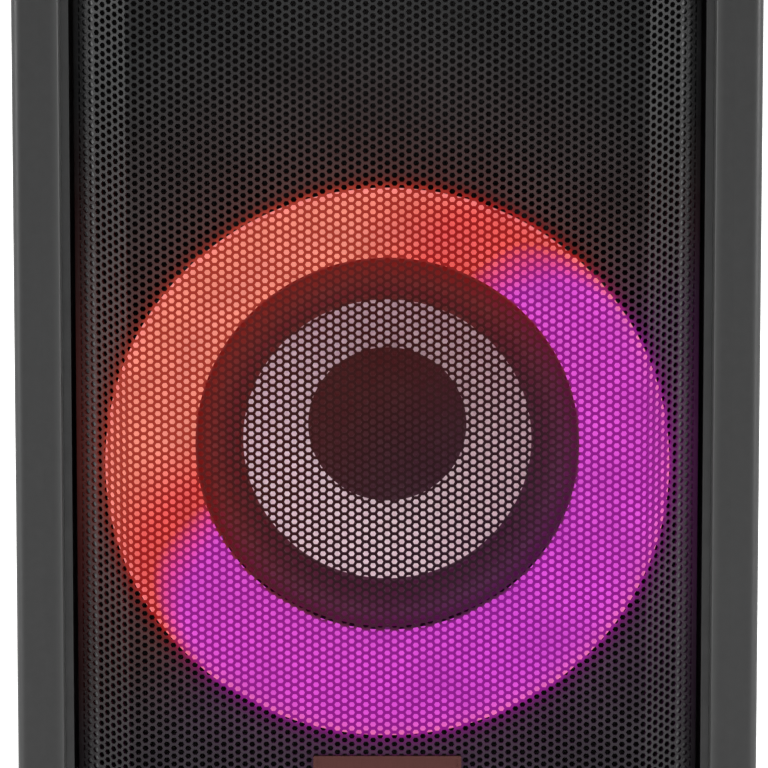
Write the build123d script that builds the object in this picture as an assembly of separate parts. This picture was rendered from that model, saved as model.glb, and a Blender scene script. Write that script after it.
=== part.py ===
from build123d import *
import os
from math import copysign, cos, pi, radians, sin, sqrt, tan

# Upright party speaker. Millimetres. +Z is up and the front faces -Y.
# The origin is the centre of the footprint, at the underside of the rubber feet.

# ---------------------------------------------------------------- driving dimensions

# whole body
WIDTH = 290.0
DEPTH = 290.0
HEIGHT = 570.0
WALL = 4.5                    # cabinet wall
SKIN = 3.0                    # thinner walls of the trim mouldings
FIT = 0.3                     # clearance round a loose piece

# levels
FOOT_HEIGHT = 8.0
BASE_HEIGHT = 22.0
CAP_HEIGHT = 52.0
GRILLE_GAP = 2.0              # between the grille and the mouldings above and below it

# plan of base and cap
TRIM_SETBACK = 2.0            # front of base and cap behind the foremost plane
FRONT_CORNER_R = 8.0
REAR_CORNER_R = 28.0

# cabinet shell and baffle
SHELL_SIDE_SETBACK = 4.0      # shell side inside the widest plane
SHELL_REAR_SETBACK = 6.0      # shell rear inside the rearmost plane
REAR_RIM = 28.0               # rim of the shell round the rear panel
REAR_RIM_Z = 7.5              # the same above and below it
REAR_LIP = 4.0                # lip of the rear panel bonded behind that rim
REAR_LIP_THICKNESS = 2.5
SHELL_CORNER_R = 24.0
BAFFLE_SETBACK = 55.0         # baffle front behind the foremost plane
BAFFLE_THICKNESS = 12.0

# front columns
COLUMN_WIDTH = 19.0           # bright face, up to the recessed flange
COLUMN_FLANGE = 3.0
COLUMN_FRONT_SETBACK = 6.0
COLUMN_WRAP = 76.0            # how far it runs back along the side

# grille
GRILLE_SHEET = 1.0
GRILLE_FACET = 21.0            # width of each side facet in plan
GRILLE_FACET_ANGLE = 32.0
GRILLE_SIDE_GAP = 2.0         # to the column flange
FRAME_THICKNESS = 2.5
FRAME_BORDER = 8.0
FRAME_POST_R = 4.0

# badge
BADGE_WIDTH = 58.0
BADGE_HEIGHT = 15.0
BADGE_THICKNESS = 1.6
BADGE_TOP_Z = 75.0
BADGE_RIM = 1.3
BADGE_RECESS = 0.6

# woofer
WOOFER_Z = 190.0
FLANGE_R = 82.5
FLANGE_THICKNESS = 3.0
ROLL_OUTER_R = 75.5
ROLL_INNER_R = 58.6
RUBBER = 0.8
CONE_LIP = 1.8
CONE_PAPER = 1.0
CONE_DEPTH = 42.0
CAP_DOME_R = 31.4
CAP_DOME_RISE = 9.0
DOME_SKIN = 0.8
FORMER_R = 13.0
FORMER_WALL = 0.25
WINDING = 0.6
WINDING_LENGTH = 13.0
POLE_GAP = 0.45               # former to pole piece
COIL_GAP = 0.5                # winding to top plate
BASKET_DEPTH = 54.0
BASKET_MOUTH_R = 77.0
BASKET_SHEET = 2.4
BASKET_LANDING = 9.6          # spider seat ahead of the basket's rear
BASKET_WINDOW = 30.0          # width of each opening in the basket's side
GASKET = 2.5
BASKET_REAR_R = 50.0
SPIDER_R = 46.0
SPIDER_CLOTH = 0.8
SPIDER_WAVES = 3
SPIDER_WAVE = 1.6
TOP_PLATE = 7.0
MAGNET_R = 45.0
MAGNET_THICKNESS = 16.0
BACK_PLATE = 7.0
WOOFER_SCREW_R = 79.0
WOOFER_SCREWS = 6

# ring light
RING_OUTER_R = 110.0
RING_INNER_R = 75.5
RING_FRONT_SETBACK = 12.5     # outer rim behind the foremost plane
RING_LIP_RISE = 11.7          # inner lip ahead of the baffle
RING_BULGE = 4.0              # how far the flare swells from a straight cone
DIFFUSER = 2.0
HOUSING_WALL = 2.0
HOUSING_GAP = 3.5              # round the woofer's flange
LED_COUNT = 24
LED_SIDE = 5.0
LED_HEIGHT = 1.6

# tweeters
TWEETER_DROP = 124.0          # tweeter axis below the top
TWEETER_X = 58.0
TWEETER_R = 38.0
TWEETER_FLANGE = 6.0
TWEETER_BODY_R = 26.5
TWEETER_DOME_R = 12.5
TWEETER_MAGNET_R = 22.0
TWEETER_MAGNET_LENGTH = 24.0

# top cap
CAP_SLOPE_DROP = 14.0
CAP_SLOPE_RUN = 22.0
CAP_EDGE_R = 4.0

# handle
HANDLE_POCKET = (144.0, 103.0)  # along X, along Y
HANDLE_POCKET_INSET = 68.5      # pocket's middle in front of the rear
HANDLE_POCKET_DEPTH = 48.0
HANDLE_BAR = (30.0, 16.0)       # along Y, along Z
HANDLE_DROP = 0.5

# control panel
PANEL_SIZE = (196.0, 104.0)
PANEL_INSET = 83.0              # panel's middle behind the foremost plane
PANEL_THICKNESS = 3.0
PANEL_RECESS = 4.0
PANEL_LEDGE = 8.0
BOARD_DROP = 10.0               # panel underside to control board
BUTTON_TRAVEL = 1.0
BUTTON_PROUD = 0.6              # button top above the panel face
# each button: x, y from the panel's middle, radius
BUTTONS = {
    "power": (-75.0, 20.0, 7.5),
    "pair": (-37.5, 20.0, 7.5),
    "bass": (37.5, 20.0, 7.5),
    "light": (75.0, 20.0, 7.5),
    "minus": (-40.0, -18.0, 10.0),
    "play": (0.0, -10.0, 14.0),
    "plus": (40.0, -18.0, 10.0),
}

# rear: sockets
IO_SIZE = (168.0, 86.0)
IO_DROP = 137.0               # middle of the socket tray below the top
IO_DEPTH = 26.0
IO_WALL = 2.5
IO_FLANGE = 8.0
IO_FLANGE_THICKNESS = 2.0
JACK_R = 3.25
AUX_R = 1.8
IO_ROW = 18.0                 # rows of jacks and knobs from the tray's middle
MIC_X = 56.0
GUITAR_X = 18.0
AUX_X = -18.0
USB_X = -52.0
KNOB_R = 8.5
KNOB_HEIGHT = 14.0
KNOB_GROOVES = 18
KNOB_SHAFT_R = 3.0
DOOR_THICKNESS = 3.0
HINGE_R = 2.6
HINGE_PIN_R = 1.2
HINGE_PLAY = 0.08
HINGE_STANDOFF = 3.0          # hinge line behind the rear wall
HINGE_DROP = 3.4              # hinge line below the tray's flange
EAR_INNER_X = 40.0
EAR_OUTER_X = 52.0
USB_HALF = (7.0, 3.6)
IO_SCREW_Z = 28.0             # screws from the tray's middle
IO_BOARD_GAP = 23.4           # tray back to socket board
AMP_BOARD_GAP = 43.4          # tray back to amplifier board
AMP_BOARD_HALF = (80.0, 45.0)
AMP_POST_X = 72.0
AMP_POST_Z = 36.0
HEATSINK_HALF = (58.0, 33.0)
HEATSINK_DEPTH = 26.0
HEATSINK_BASE = 6.0
HEATSINK_FINS = 12
FIN = 2.4
BOARD = 1.6

# rear: port, battery, mains
PORT_R = 28.0
PORT_WALL = 2.5
PORT_LENGTH = 119.0
PORT_FLARE_R = 42.0
BATTERY_BAY = (120.0, 79.0, 90.0)
BATTERY_X = -28.0
BATTERY_BOTTOM_Z = 60.0
BAY_WALL = 2.5
BATTERY_SCREW_BORDER = 4.0
BATTERY_DOOR_BORDER = 8.0
BATTERY_DOOR = 3.0
MAINS_X = 88.0
MAINS_Z = 84.0
MAINS_BODY = (26.0, 22.0, 18.0)
MAINS_FLANGE = 3.0
MAINS_FLANGE_THICKNESS = 1.5
MAINS_WELL = 14.0
MAINS_LOBE_R = 4.4
MAINS_PIN_X = 4.3
MAINS_PIN_R = 1.2
COVER_HINGE_STANDOFF = 2.4
COVER_HINGE_DROP = 6.0
COVER_HINGE_R = 2.0
COVER_PIN_R = 1.0

# power supply on the floor
SUPPLY_X = -80.0
SUPPLY_Y = -4.0
SUPPLY_HALF = (44.0, 50.0)
SUPPLY_POST_X = 38.0
SUPPLY_POST_Y = 44.0
SUPPLY_POST = 6.0
SUPPLY_POST_R = 3.5

# bottom
FOOT_R = 14.0
FOOT_INSET_X = 29.0
FOOT_INSET_Y = 37.0
POLE_R = 17.8
POLE_WALL = 3.2
POLE_DEPTH = 75.0
POLE_Y = 15.0

# fasteners and wiring
BOSS_R = 5.0
BOSS_LENGTH = 20.0
BOSS_INSET = 8.0              # boss axis inside the shell's side
BOSS_END = 12.0               # first and last boss from the shell's ends
BOSS_ROWS = 5
PAD_LENGTH = 6.0              # rear screw pads, ahead of the wall
SCREW_R = 2.0
SCREW_HEAD_R = 3.6
SCREW_HEAD = 2.0
SCREW_LENGTH = 24.0
LEAD_R = 2.0

# ---------------------------------------------------------------- levels worked out from them

FRONT_Y = -DEPTH / 2
REAR_Y = DEPTH / 2
BASE_TOP_Z = FOOT_HEIGHT + BASE_HEIGHT
CAP_BOTTOM_Z = HEIGHT - CAP_HEIGHT
SHELL_HALF = WIDTH / 2 - SHELL_SIDE_SETBACK
SHELL_REAR_Y = REAR_Y - SHELL_REAR_SETBACK
BAFFLE_FRONT_Y = FRONT_Y + BAFFLE_SETBACK
BAFFLE_REAR_Y = BAFFLE_FRONT_Y + BAFFLE_THICKNESS
GRILLE_FRONT_Y = FRONT_Y + BADGE_THICKNESS
COLUMN_INNER_X = WIDTH / 2 - COLUMN_WIDTH
FLANGE_INNER_X = COLUMN_INNER_X - COLUMN_FLANGE
GRILLE_HALF = FLANGE_INNER_X - GRILLE_SIDE_GAP
GRILLE_FLAT_HALF = GRILLE_HALF - GRILLE_FACET
GRILLE_BOTTOM_Z = BASE_TOP_Z + GRILLE_GAP
GRILLE_TOP_Z = CAP_BOTTOM_Z - GRILLE_GAP
FLANGE_FRONT_Y = BAFFLE_FRONT_Y - FLANGE_THICKNESS
RING_FRONT_Y = FRONT_Y + RING_FRONT_SETBACK
RING_LIP_Y = BAFFLE_FRONT_Y - RING_LIP_RISE
HOUSING_INNER_R = FLANGE_R + HOUSING_GAP
LED_CIRCLE_R = (HOUSING_INNER_R + RING_OUTER_R) / 2
BASKET_REAR_Y = BAFFLE_FRONT_Y + BASKET_DEPTH
CONE_NECK_Y = FLANGE_FRONT_Y + CONE_DEPTH
TWEETER_Z = HEIGHT - TWEETER_DROP
FOOT_X = WIDTH / 2 - FOOT_INSET_X
FOOT_Y = DEPTH / 2 - FOOT_INSET_Y
HANDLE_POCKET_Y = REAR_Y - HANDLE_POCKET_INSET
PANEL_Y = FRONT_Y + PANEL_INSET
PANEL_TOP_Z = HEIGHT - PANEL_RECESS + PANEL_THICKNESS
PANEL_BOTTOM_Z = HEIGHT - PANEL_RECESS
CONTROL_BOARD_TOP_Z = PANEL_BOTTOM_Z - BOARD_DROP
IO_Z = HEIGHT - IO_DROP
JACK_ROW_Z = IO_Z - IO_ROW
KNOB_ROW_Z = IO_Z + IO_ROW
IO_PLATE_Y = SHELL_REAR_Y - IO_DEPTH
IO_BOARD_Y = IO_PLATE_Y - IO_BOARD_GAP
AMP_BOARD_Y = IO_PLATE_Y - AMP_BOARD_GAP
DOOR_INNER_Y = SHELL_REAR_Y + IO_FLANGE_THICKNESS + FIT
HINGE_Y = SHELL_REAR_Y + HINGE_STANDOFF
HINGE_Z = IO_Z - IO_SIZE[1] / 2 - IO_FLANGE - HINGE_DROP
BATTERY_TOP_Z = BATTERY_BOTTOM_Z + BATTERY_BAY[2] + BATTERY_DOOR_BORDER
PORT_Z = (BATTERY_TOP_Z + HINGE_Z - HINGE_R) / 2
COVER_HINGE_Y = SHELL_REAR_Y + COVER_HINGE_STANDOFF
COVER_HINGE_Z = MAINS_Z - MAINS_BODY[2] / 2 - COVER_HINGE_DROP
SUPPLY_BOARD_Z = BASE_TOP_Z + WALL + SUPPLY_POST
BOSS_X = SHELL_HALF - BOSS_INSET
BOSS_STEP = (CAP_BOTTOM_Z - BASE_TOP_Z - 2 * BOSS_END) / (BOSS_ROWS - 1)
BOSS_ZS = [BASE_TOP_Z + BOSS_END + row * BOSS_STEP for row in range(BOSS_ROWS)]


# ---------------------------------------------------------------- helpers

def block(x0, x1, y0, y1, z0, z1):
    """A box given by its two corners."""
    return Pos((x0 + x1) / 2, (y0 + y1) / 2, (z0 + z1) / 2) * Box(x1 - x0, y1 - y0, z1 - z0)


def rod_x(y, z, radius, x0, x1):
    return Pos((x0 + x1) / 2, y, z) * Rot(0, 90, 0) * Cylinder(radius, x1 - x0)


def rod_y(x, z, radius, y0, y1):
    return Pos(x, (y0 + y1) / 2, z) * Rot(90, 0, 0) * Cylinder(radius, y1 - y0)


def rod_z(x, y, radius, z0, z1):
    return Pos(x, y, (z0 + z1) / 2) * Cylinder(radius, z1 - z0)


def turned(profile, x, z):
    """Revolve a profile drawn as (radius, y) about the line along Y through (x, z)."""
    return Pos(x, 0, z) * revolve(profile, Axis.Y, 360)


def outline(*points):
    """A flat polygon whose face looks up, whichever way round its corners are listed."""
    pairs = zip(points, points[1:] + points[:1])
    area = sum(a[0] * b[1] - b[0] * a[1] for a, b in pairs)
    ordered = points if area > 0 else points[::-1]
    return Polygon(*ordered, align=None)


def upright(profile, z0, z1):
    """Extrude a plan profile between two heights."""
    return Pos(0, 0, z0) * extrude(profile, amount=z1 - z0, dir=(0, 0, 1))


def rounded(profile, corner, radius):
    """Round the one corner of a flat profile that lies nearest to a point."""
    near = profile.vertices().sort_by_distance((corner[0], corner[1], 0))[0]
    return fillet(near, radius)


def mirrored(solid):
    return mirror(solid, Plane.YZ)


def footprint(inset):
    """Plan of the base and cap: small corners in front, large ones behind."""
    half = WIDTH / 2 - inset
    front = FRONT_Y + TRIM_SETBACK + inset
    rear = REAR_Y - inset
    plan = outline((-half, front), (half, front), (half, rear), (-half, rear))
    for side in (-1, 1):
        plan = rounded(plan, (side * half, front), FRONT_CORNER_R - inset)
        plan = rounded(plan, (side * half, rear), REAR_CORNER_R - inset)
    return plan


def bent_line(inset):
    """Right half of the grille's bent line, moved back by a thickness: fold point, edge point."""
    angle = radians(GRILLE_FACET_ANGLE)
    facet = GRILLE_HALF - GRILLE_FLAT_HALF
    fold = (GRILLE_FLAT_HALF - inset * tan(angle / 2), GRILLE_FRONT_Y + inset)
    edge = (
        GRILLE_HALF - inset * sin(angle),
        GRILLE_FRONT_Y + facet * tan(angle) + inset * cos(angle),
    )
    return fold, edge


def bent_sheet(near, far):
    """Plan of a sheet that follows the grille's line between two depths behind its face."""
    fold_near, edge_near = bent_line(near)
    fold_far, edge_far = bent_line(far)
    right = [fold_near, edge_near, edge_far, fold_far]
    left = [(-x, y) for x, y in reversed(right)]
    return outline(*right, *left)


def lead(points, radius):
    """A round cable through a list of points, with the widest bend each corner allows."""
    places = [Vector(*point) for point in points]
    radii = []
    for before, here, after in zip(places, places[1:], places[2:]):
        turn = radians((here - before).get_angle(after - here))
        shorter = min((here - before).length, (after - here).length)
        radii.append(0.45 * shorter / tan(turn / 2))
    print("lead bend radii:", [round(r, 1) for r in radii])
    path = FilletPolyline(*places, radius=radii)
    start = Plane(origin=path @ 0, z_dir=path % 0)
    cable = sweep(start * Circle(radius), path=path)
    expected = pi * radius ** 2 * path.length
    print("lead length %.1f, volume ratio %.4f" % (path.length, cable.volume / expected))
    return cable


def screw_y(x, z, seat_y, direction, length=SCREW_LENGTH):
    """A pan-head screw along Y: head on the seat, shank running in the given direction."""
    head_end = seat_y - direction * SCREW_HEAD
    tip = seat_y + direction * length
    head = rod_y(x, z, SCREW_HEAD_R, min(head_end, seat_y), max(head_end, seat_y))
    shank = rod_y(x, z, SCREW_R, min(tip, seat_y), max(tip, seat_y))
    slot_mid = head_end + direction * 0.5
    slot_a = block(x - 2.2, x + 2.2, slot_mid - 0.5, slot_mid + 0.5, z - 0.4, z + 0.4)
    slot_b = block(x - 0.4, x + 0.4, slot_mid - 0.5, slot_mid + 0.5, z - 2.2, z + 2.2)
    return head + shank - slot_a - slot_b


# ---------------------------------------------------------------- enclosure

def baffle_screw_places():
    return [(side * BOSS_X, z) for side in (-1, 1) for z in BOSS_ZS]


def battery_limits(grow):
    """The battery bay's box, grown by a wall: x0, x1, z0, z1, front y."""
    half = BATTERY_BAY[0] / 2 + grow
    z0 = BATTERY_BOTTOM_Z - grow
    z1 = BATTERY_BOTTOM_Z + BATTERY_BAY[2] + grow
    return BATTERY_X - half, BATTERY_X + half, z0, z1, SHELL_REAR_Y - BATTERY_BAY[1] - grow


def battery_screw_places():
    x0, x1, z0, z1, _ = battery_limits(BATTERY_SCREW_BORDER)
    return [(x, z) for x in (x0, x1) for z in (z0, z1)]


def io_screw_places():
    half_x = IO_SIZE[0] / 2 + IO_FLANGE / 2
    return [(side * half_x, IO_Z + row * IO_SCREW_Z) for side in (-1, 1) for row in (-1, 1)]


def supply_posts():
    return [
        (SUPPLY_X + sx * SUPPLY_POST_X, SUPPLY_Y + sy * SUPPLY_POST_Y)
        for sx in (-1, 1) for sy in (-1, 1)
    ]


def cabinet_shell():
    def body_plan(inset, front):
        half = SHELL_HALF - inset
        rear = SHELL_REAR_Y - inset
        plan = outline((-half, front), (half, front), (half, rear), (-half, rear))
        for side in (-1, 1):
            plan = rounded(plan, (side * half, rear), SHELL_CORNER_R - inset)
        return plan

    shell = upright(body_plan(0, BAFFLE_REAR_Y), BASE_TOP_Z, CAP_BOTTOM_Z)
    room = upright(body_plan(WALL, BAFFLE_REAR_Y - 1), BASE_TOP_Z + WALL, CAP_BOTTOM_Z - WALL)
    shell -= room
    # bosses that take the baffle screws
    boss_end = BAFFLE_REAR_Y + BOSS_LENGTH
    for x, z in baffle_screw_places():
        wall_x = copysign(SHELL_HALF - WALL / 2, x)
        shell += rod_y(x, z, BOSS_R, BAFFLE_REAR_Y, boss_end)
        shell += block(min(x, wall_x), max(x, wall_x), BAFFLE_REAR_Y, boss_end, z - 2, z + 2)
        shell -= rod_y(x, z, SCREW_R, BAFFLE_REAR_Y - 1, boss_end - 4)
    # opening for the rear panel
    half, z0, z1 = rear_panel_limits(FIT)
    shell -= block(-half, half, SHELL_REAR_Y - WALL - 1, SHELL_REAR_Y + 1, z0, z1)
    # floor: pole socket and supply posts; roof: panel lead
    shell -= rod_z(0, POLE_Y, POLE_R + POLE_WALL + FIT, BASE_TOP_Z - 1, BASE_TOP_Z + WALL + 1)
    for x, y in supply_posts():
        shell += rod_z(x, y, SUPPLY_POST_R, BASE_TOP_Z + WALL - 1, SUPPLY_BOARD_Z)
    top_x, top_y, _ = PANEL_LEAD[0]
    shell -= rod_z(top_x, top_y, LEAD_R + 2, CAP_BOTTOM_Z - WALL - 1, CAP_BOTTOM_Z + 1)
    return shell


def rear_panel_limits(grow):
    """Half width, bottom and top of the rear panel, or of the opening that it fills."""
    z0 = BASE_TOP_Z + WALL + REAR_RIM_Z - grow
    z1 = CAP_BOTTOM_Z - WALL - REAR_RIM_Z + grow
    return SHELL_HALF - REAR_RIM + grow, z0, z1


def rear_panel():
    """Rear wall with the battery bay and the openings, bonded into the shell by a lip all round."""
    half, z0, z1 = rear_panel_limits(0)
    inner = SHELL_REAR_Y - WALL
    panel = block(-half, half, inner, SHELL_REAR_Y, z0, z1)
    panel += block(
        -half - REAR_LIP, half + REAR_LIP, inner - REAR_LIP_THICKNESS, inner,
        z0 - REAR_LIP, z1 + REAR_LIP,
    )
    # battery bay, open to the rear
    x0, x1, z0, z1, front = battery_limits(BAY_WALL)
    panel += block(x0, x1, front, SHELL_REAR_Y - 1, z0, z1)
    x0, x1, z0, z1, front = battery_limits(0)
    panel -= block(x0, x1, front, SHELL_REAR_Y + 1, z0, z1)
    lead_x = BATTERY_LEAD[0][0]
    panel -= rod_y(lead_x, BATTERY_LEAD[0][2], LEAD_R + FIT, front - BAY_WALL - 1, front + 1)
    # openings and their screw pads
    half_x = IO_SIZE[0] / 2 + FIT
    half_z = IO_SIZE[1] / 2 + FIT
    rear_0, rear_1 = SHELL_REAR_Y - WALL - PAD_LENGTH, SHELL_REAR_Y
    for x, z in battery_screw_places() + io_screw_places():
        panel += rod_y(x, z, BOSS_R, rear_0, rear_1 - 1)
    x0, x1, z0, z1, front = battery_limits(0)
    panel -= block(x0, x1, front, SHELL_REAR_Y + 1, z0, z1)
    panel -= block(-half_x, half_x, rear_0 - 1, rear_1 + 1, IO_Z - half_z, IO_Z + half_z)
    panel -= rod_y(0, PORT_Z, PORT_R + PORT_WALL + FIT, rear_0 - 1, rear_1 + 1)
    mains_half = MAINS_BODY[0] / 2 + FIT, MAINS_BODY[2] / 2 + FIT
    panel -= block(
        MAINS_X - mains_half[0], MAINS_X + mains_half[0], rear_0 - 1, rear_1 + 1,
        MAINS_Z - mains_half[1], MAINS_Z + mains_half[1],
    )
    for x, z in battery_screw_places() + io_screw_places():
        panel -= rod_y(x, z, SCREW_R, rear_0 - 1, rear_1 + 1)
    return panel


def front_baffle():
    plate = block(-SHELL_HALF, SHELL_HALF, BAFFLE_FRONT_Y, BAFFLE_REAR_Y, BASE_TOP_Z, CAP_BOTTOM_Z)
    y0, y1 = BAFFLE_FRONT_Y - 1, BAFFLE_REAR_Y + 1
    plate -= rod_y(0, WOOFER_Z, BASKET_MOUTH_R + FIT, y0, y1)
    for side in (-1, 1):
        plate -= rod_y(side * TWEETER_X, TWEETER_Z, TWEETER_BODY_R + FIT, y0, y1)
    for x, z in woofer_screw_places() + baffle_screw_places():
        plate -= rod_y(x, z, SCREW_R, y0, y1)
    plate -= rod_y(RING_LEAD[0][0], RING_LEAD[0][2], LEAD_R + 2, y0, y1)
    return plate


def right_column():
    """Pillar of channel section: inner flange, bright face, side skin and a lip on the cabinet."""
    face_y = FRONT_Y + COLUMN_FRONT_SETBACK
    outer_x = WIDTH / 2
    back_y = face_y + COLUMN_WRAP
    shoulder = 4.5
    plan = outline(
        (FLANGE_INNER_X, BAFFLE_FRONT_Y),
        (FLANGE_INNER_X, face_y + shoulder),
        (COLUMN_INNER_X, face_y + shoulder),
        (COLUMN_INNER_X + 0.8, face_y + 0.8),
        (COLUMN_INNER_X + 8.0, face_y),
        (outer_x, face_y),
        (outer_x, back_y - 4.0),
        (outer_x - 3.5, back_y),
        (SHELL_HALF, back_y),
        (SHELL_HALF, BAFFLE_FRONT_Y),
    )
    plan = rounded(plan, (outer_x, face_y), 4.0)
    plan = rounded(plan, (COLUMN_INNER_X + 0.8, face_y + 0.8), 1.0)
    hollow = outline(
        (FLANGE_INNER_X + SKIN, BAFFLE_FRONT_Y),
        (FLANGE_INNER_X + SKIN, face_y + shoulder + SKIN),
        (COLUMN_INNER_X + SKIN + 0.8, face_y + SKIN + 0.4),
        (outer_x - SKIN - 2.0, face_y + SKIN),
        (outer_x - SKIN, face_y + SKIN + 2.0),
        (outer_x - SKIN, back_y - 4.0),
        (SHELL_HALF, back_y - 4.0),
        (SHELL_HALF, BAFFLE_FRONT_Y),
    )
    return upright(plan - hollow, BASE_TOP_Z, CAP_BOTTOM_Z)


def top_cap():
    """Lid moulding with a sloped front edge, a panel recess and a pocket for the hand."""
    cap = upright(footprint(0), CAP_BOTTOM_Z, HEIGHT)
    front = FRONT_Y + TRIM_SETBACK
    slope = CAP_SLOPE_DROP / CAP_SLOPE_RUN
    wedge = outline(
        (front - 5, HEIGHT - CAP_SLOPE_DROP - 5 * slope),
        (front + CAP_SLOPE_RUN + 5, HEIGHT + 5 * slope),
        (front - 5, HEIGHT + 20),
    )
    cap -= extrude(Plane.YZ * wedge, amount=WIDTH, both=True)
    rim = cap.faces().sort_by(Axis.Z)[-1].outer_wire().edges()
    cap = fillet(rim, CAP_EDGE_R)
    cap -= (Pos(0, 0, -SKIN) * cap) & upright(footprint(SKIN), CAP_BOTTOM_Z - SKIN, HEIGHT)
    # pocket under the carrying handle
    half_x, half_y = HANDLE_POCKET[0] / 2, HANDLE_POCKET[1] / 2
    floor_z = HEIGHT - HANDLE_POCKET_DEPTH
    y0, y1 = HANDLE_POCKET_Y - half_y, HANDLE_POCKET_Y + half_y
    cap += block(-half_x - SKIN, half_x + SKIN, y0 - SKIN, y1 + SKIN, floor_z - SKIN, HEIGHT - SKIN + 1)
    pocket = block(-half_x, half_x, y0, y1, floor_z, HEIGHT + 1)
    cap -= fillet(pocket.edges().filter_by(Axis.Z), 14.0)
    # recess and ledge for the control panel
    px, py = PANEL_SIZE[0] / 2, PANEL_SIZE[1] / 2
    cap += block(
        -px - SKIN, px + SKIN, PANEL_Y - py - SKIN, PANEL_Y + py + SKIN,
        PANEL_BOTTOM_Z - SKIN, HEIGHT - SKIN,
    )
    cap -= block(-px, px, PANEL_Y - py, PANEL_Y + py, PANEL_BOTTOM_Z, HEIGHT + 1)
    wx, wy = px - PANEL_LEDGE, py - PANEL_LEDGE
    cap -= block(-wx, wx, PANEL_Y - wy, PANEL_Y + wy, CAP_BOTTOM_Z, HEIGHT)
    return cap


def handle_bar():
    half_x = HANDLE_POCKET[0] / 2
    top = HEIGHT - HANDLE_DROP
    bar = block(
        -half_x, half_x, HANDLE_POCKET_Y - HANDLE_BAR[0] / 2, HANDLE_POCKET_Y + HANDLE_BAR[0] / 2,
        top - HANDLE_BAR[1], top,
    )
    return fillet(bar.edges().filter_by(Axis.X), HANDLE_BAR[1] * 0.42)


def base_tray():
    tray = upright(footprint(0), FOOT_HEIGHT, BASE_TOP_Z)
    rim = tray.faces().sort_by(Axis.Z)[0].outer_wire().edges()
    tray = chamfer(rim, 3.0)
    tray -= upright(footprint(SKIN), FOOT_HEIGHT + SKIN, BASE_TOP_Z + 1)
    for x, y in foot_places():
        tray += rod_z(x, y, 7.0, FOOT_HEIGHT + SKIN - 1, BASE_TOP_Z)
        tray -= rod_z(x, y, SCREW_R, FOOT_HEIGHT - 1, FOOT_HEIGHT + 14)
    tray -= rod_z(0, POLE_Y, POLE_R + 0.7, FOOT_HEIGHT - 1, FOOT_HEIGHT + SKIN + 1)
    return tray


def foot_places():
    return [(sx * FOOT_X, sy * FOOT_Y) for sx in (-1, 1) for sy in (-1, 1)]


def rubber_feet():
    feet = []
    for x, y in foot_places():
        foot = rod_z(x, y, FOOT_R, 0, FOOT_HEIGHT)
        foot = chamfer(foot.edges().filter_by(GeomType.CIRCLE).sort_by(Axis.Z)[0], 1.5)
        foot -= rod_z(x, y, SCREW_HEAD_R + 1, -1, 3.0)
        foot -= rod_z(x, y, SCREW_R, 2.0, FOOT_HEIGHT + 1)
        feet.append(foot)
    return Compound(feet)


def pole_socket():
    floor_z = FOOT_HEIGHT + SKIN
    socket = rod_z(0, POLE_Y, POLE_R + POLE_WALL, floor_z, floor_z + POLE_DEPTH + POLE_WALL)
    socket += rod_z(0, POLE_Y, POLE_R + POLE_WALL + 11, floor_z, floor_z + 3)
    socket -= rod_z(0, POLE_Y, POLE_R, floor_z - 1, floor_z + POLE_DEPTH)
    return socket


# ---------------------------------------------------------------- grille

def front_grille():
    return upright(bent_sheet(0, GRILLE_SHEET), GRILLE_BOTTOM_Z, GRILLE_TOP_Z)


def grille_frame():
    back = GRILLE_SHEET + FRAME_THICKNESS
    frame = upright(bent_sheet(GRILLE_SHEET, back), GRILLE_BOTTOM_Z, GRILLE_TOP_Z)
    window = GRILLE_HALF - FRAME_BORDER
    frame -= block(
        -window, window, GRILLE_FRONT_Y - 1, BAFFLE_FRONT_Y,
        GRILLE_BOTTOM_Z + FRAME_BORDER + 2, GRILLE_TOP_Z - FRAME_BORDER - 2,
    )
    post_x = GRILLE_HALF - FRAME_POST_R - 0.8
    post_end = 14.0
    middle = (GRILLE_BOTTOM_Z + GRILLE_TOP_Z) / 2
    heights = (GRILLE_BOTTOM_Z + post_end, middle, GRILLE_TOP_Z - post_end)
    _, edge = bent_line(back)
    for side in (-1, 1):
        for z in heights:
            frame += rod_y(side * post_x, z, FRAME_POST_R, edge[1] - 4.5, BAFFLE_FRONT_Y)
    fold, edge = bent_line(GRILLE_SHEET)
    ahead = [fold, edge, (edge[0] + 3, edge[1]), (edge[0] + 3, FRONT_Y - 5)]
    ahead += [(-x, y) for x, y in reversed(ahead)]
    return frame - upright(outline(*ahead), GRILLE_BOTTOM_Z - 1, GRILLE_TOP_Z + 1)


def badge():
    half = BADGE_WIDTH / 2
    z0 = BADGE_TOP_Z - BADGE_HEIGHT
    plate = block(-half, half, FRONT_Y, GRILLE_FRONT_Y, z0, BADGE_TOP_Z)
    plate -= block(
        -half + BADGE_RIM, half - BADGE_RIM, FRONT_Y - 1, FRONT_Y + BADGE_RECESS,
        z0 + BADGE_RIM, BADGE_TOP_Z - BADGE_RIM,
    )
    return fillet(plate.edges().filter_by(Axis.Y), 0.5)


# ---------------------------------------------------------------- woofer

def woofer_screw_places():
    step = 2 * pi / WOOFER_SCREWS
    return [
        (WOOFER_SCREW_R * sin(i * step), WOOFER_Z + WOOFER_SCREW_R * cos(i * step))
        for i in range(WOOFER_SCREWS)
    ]


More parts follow.
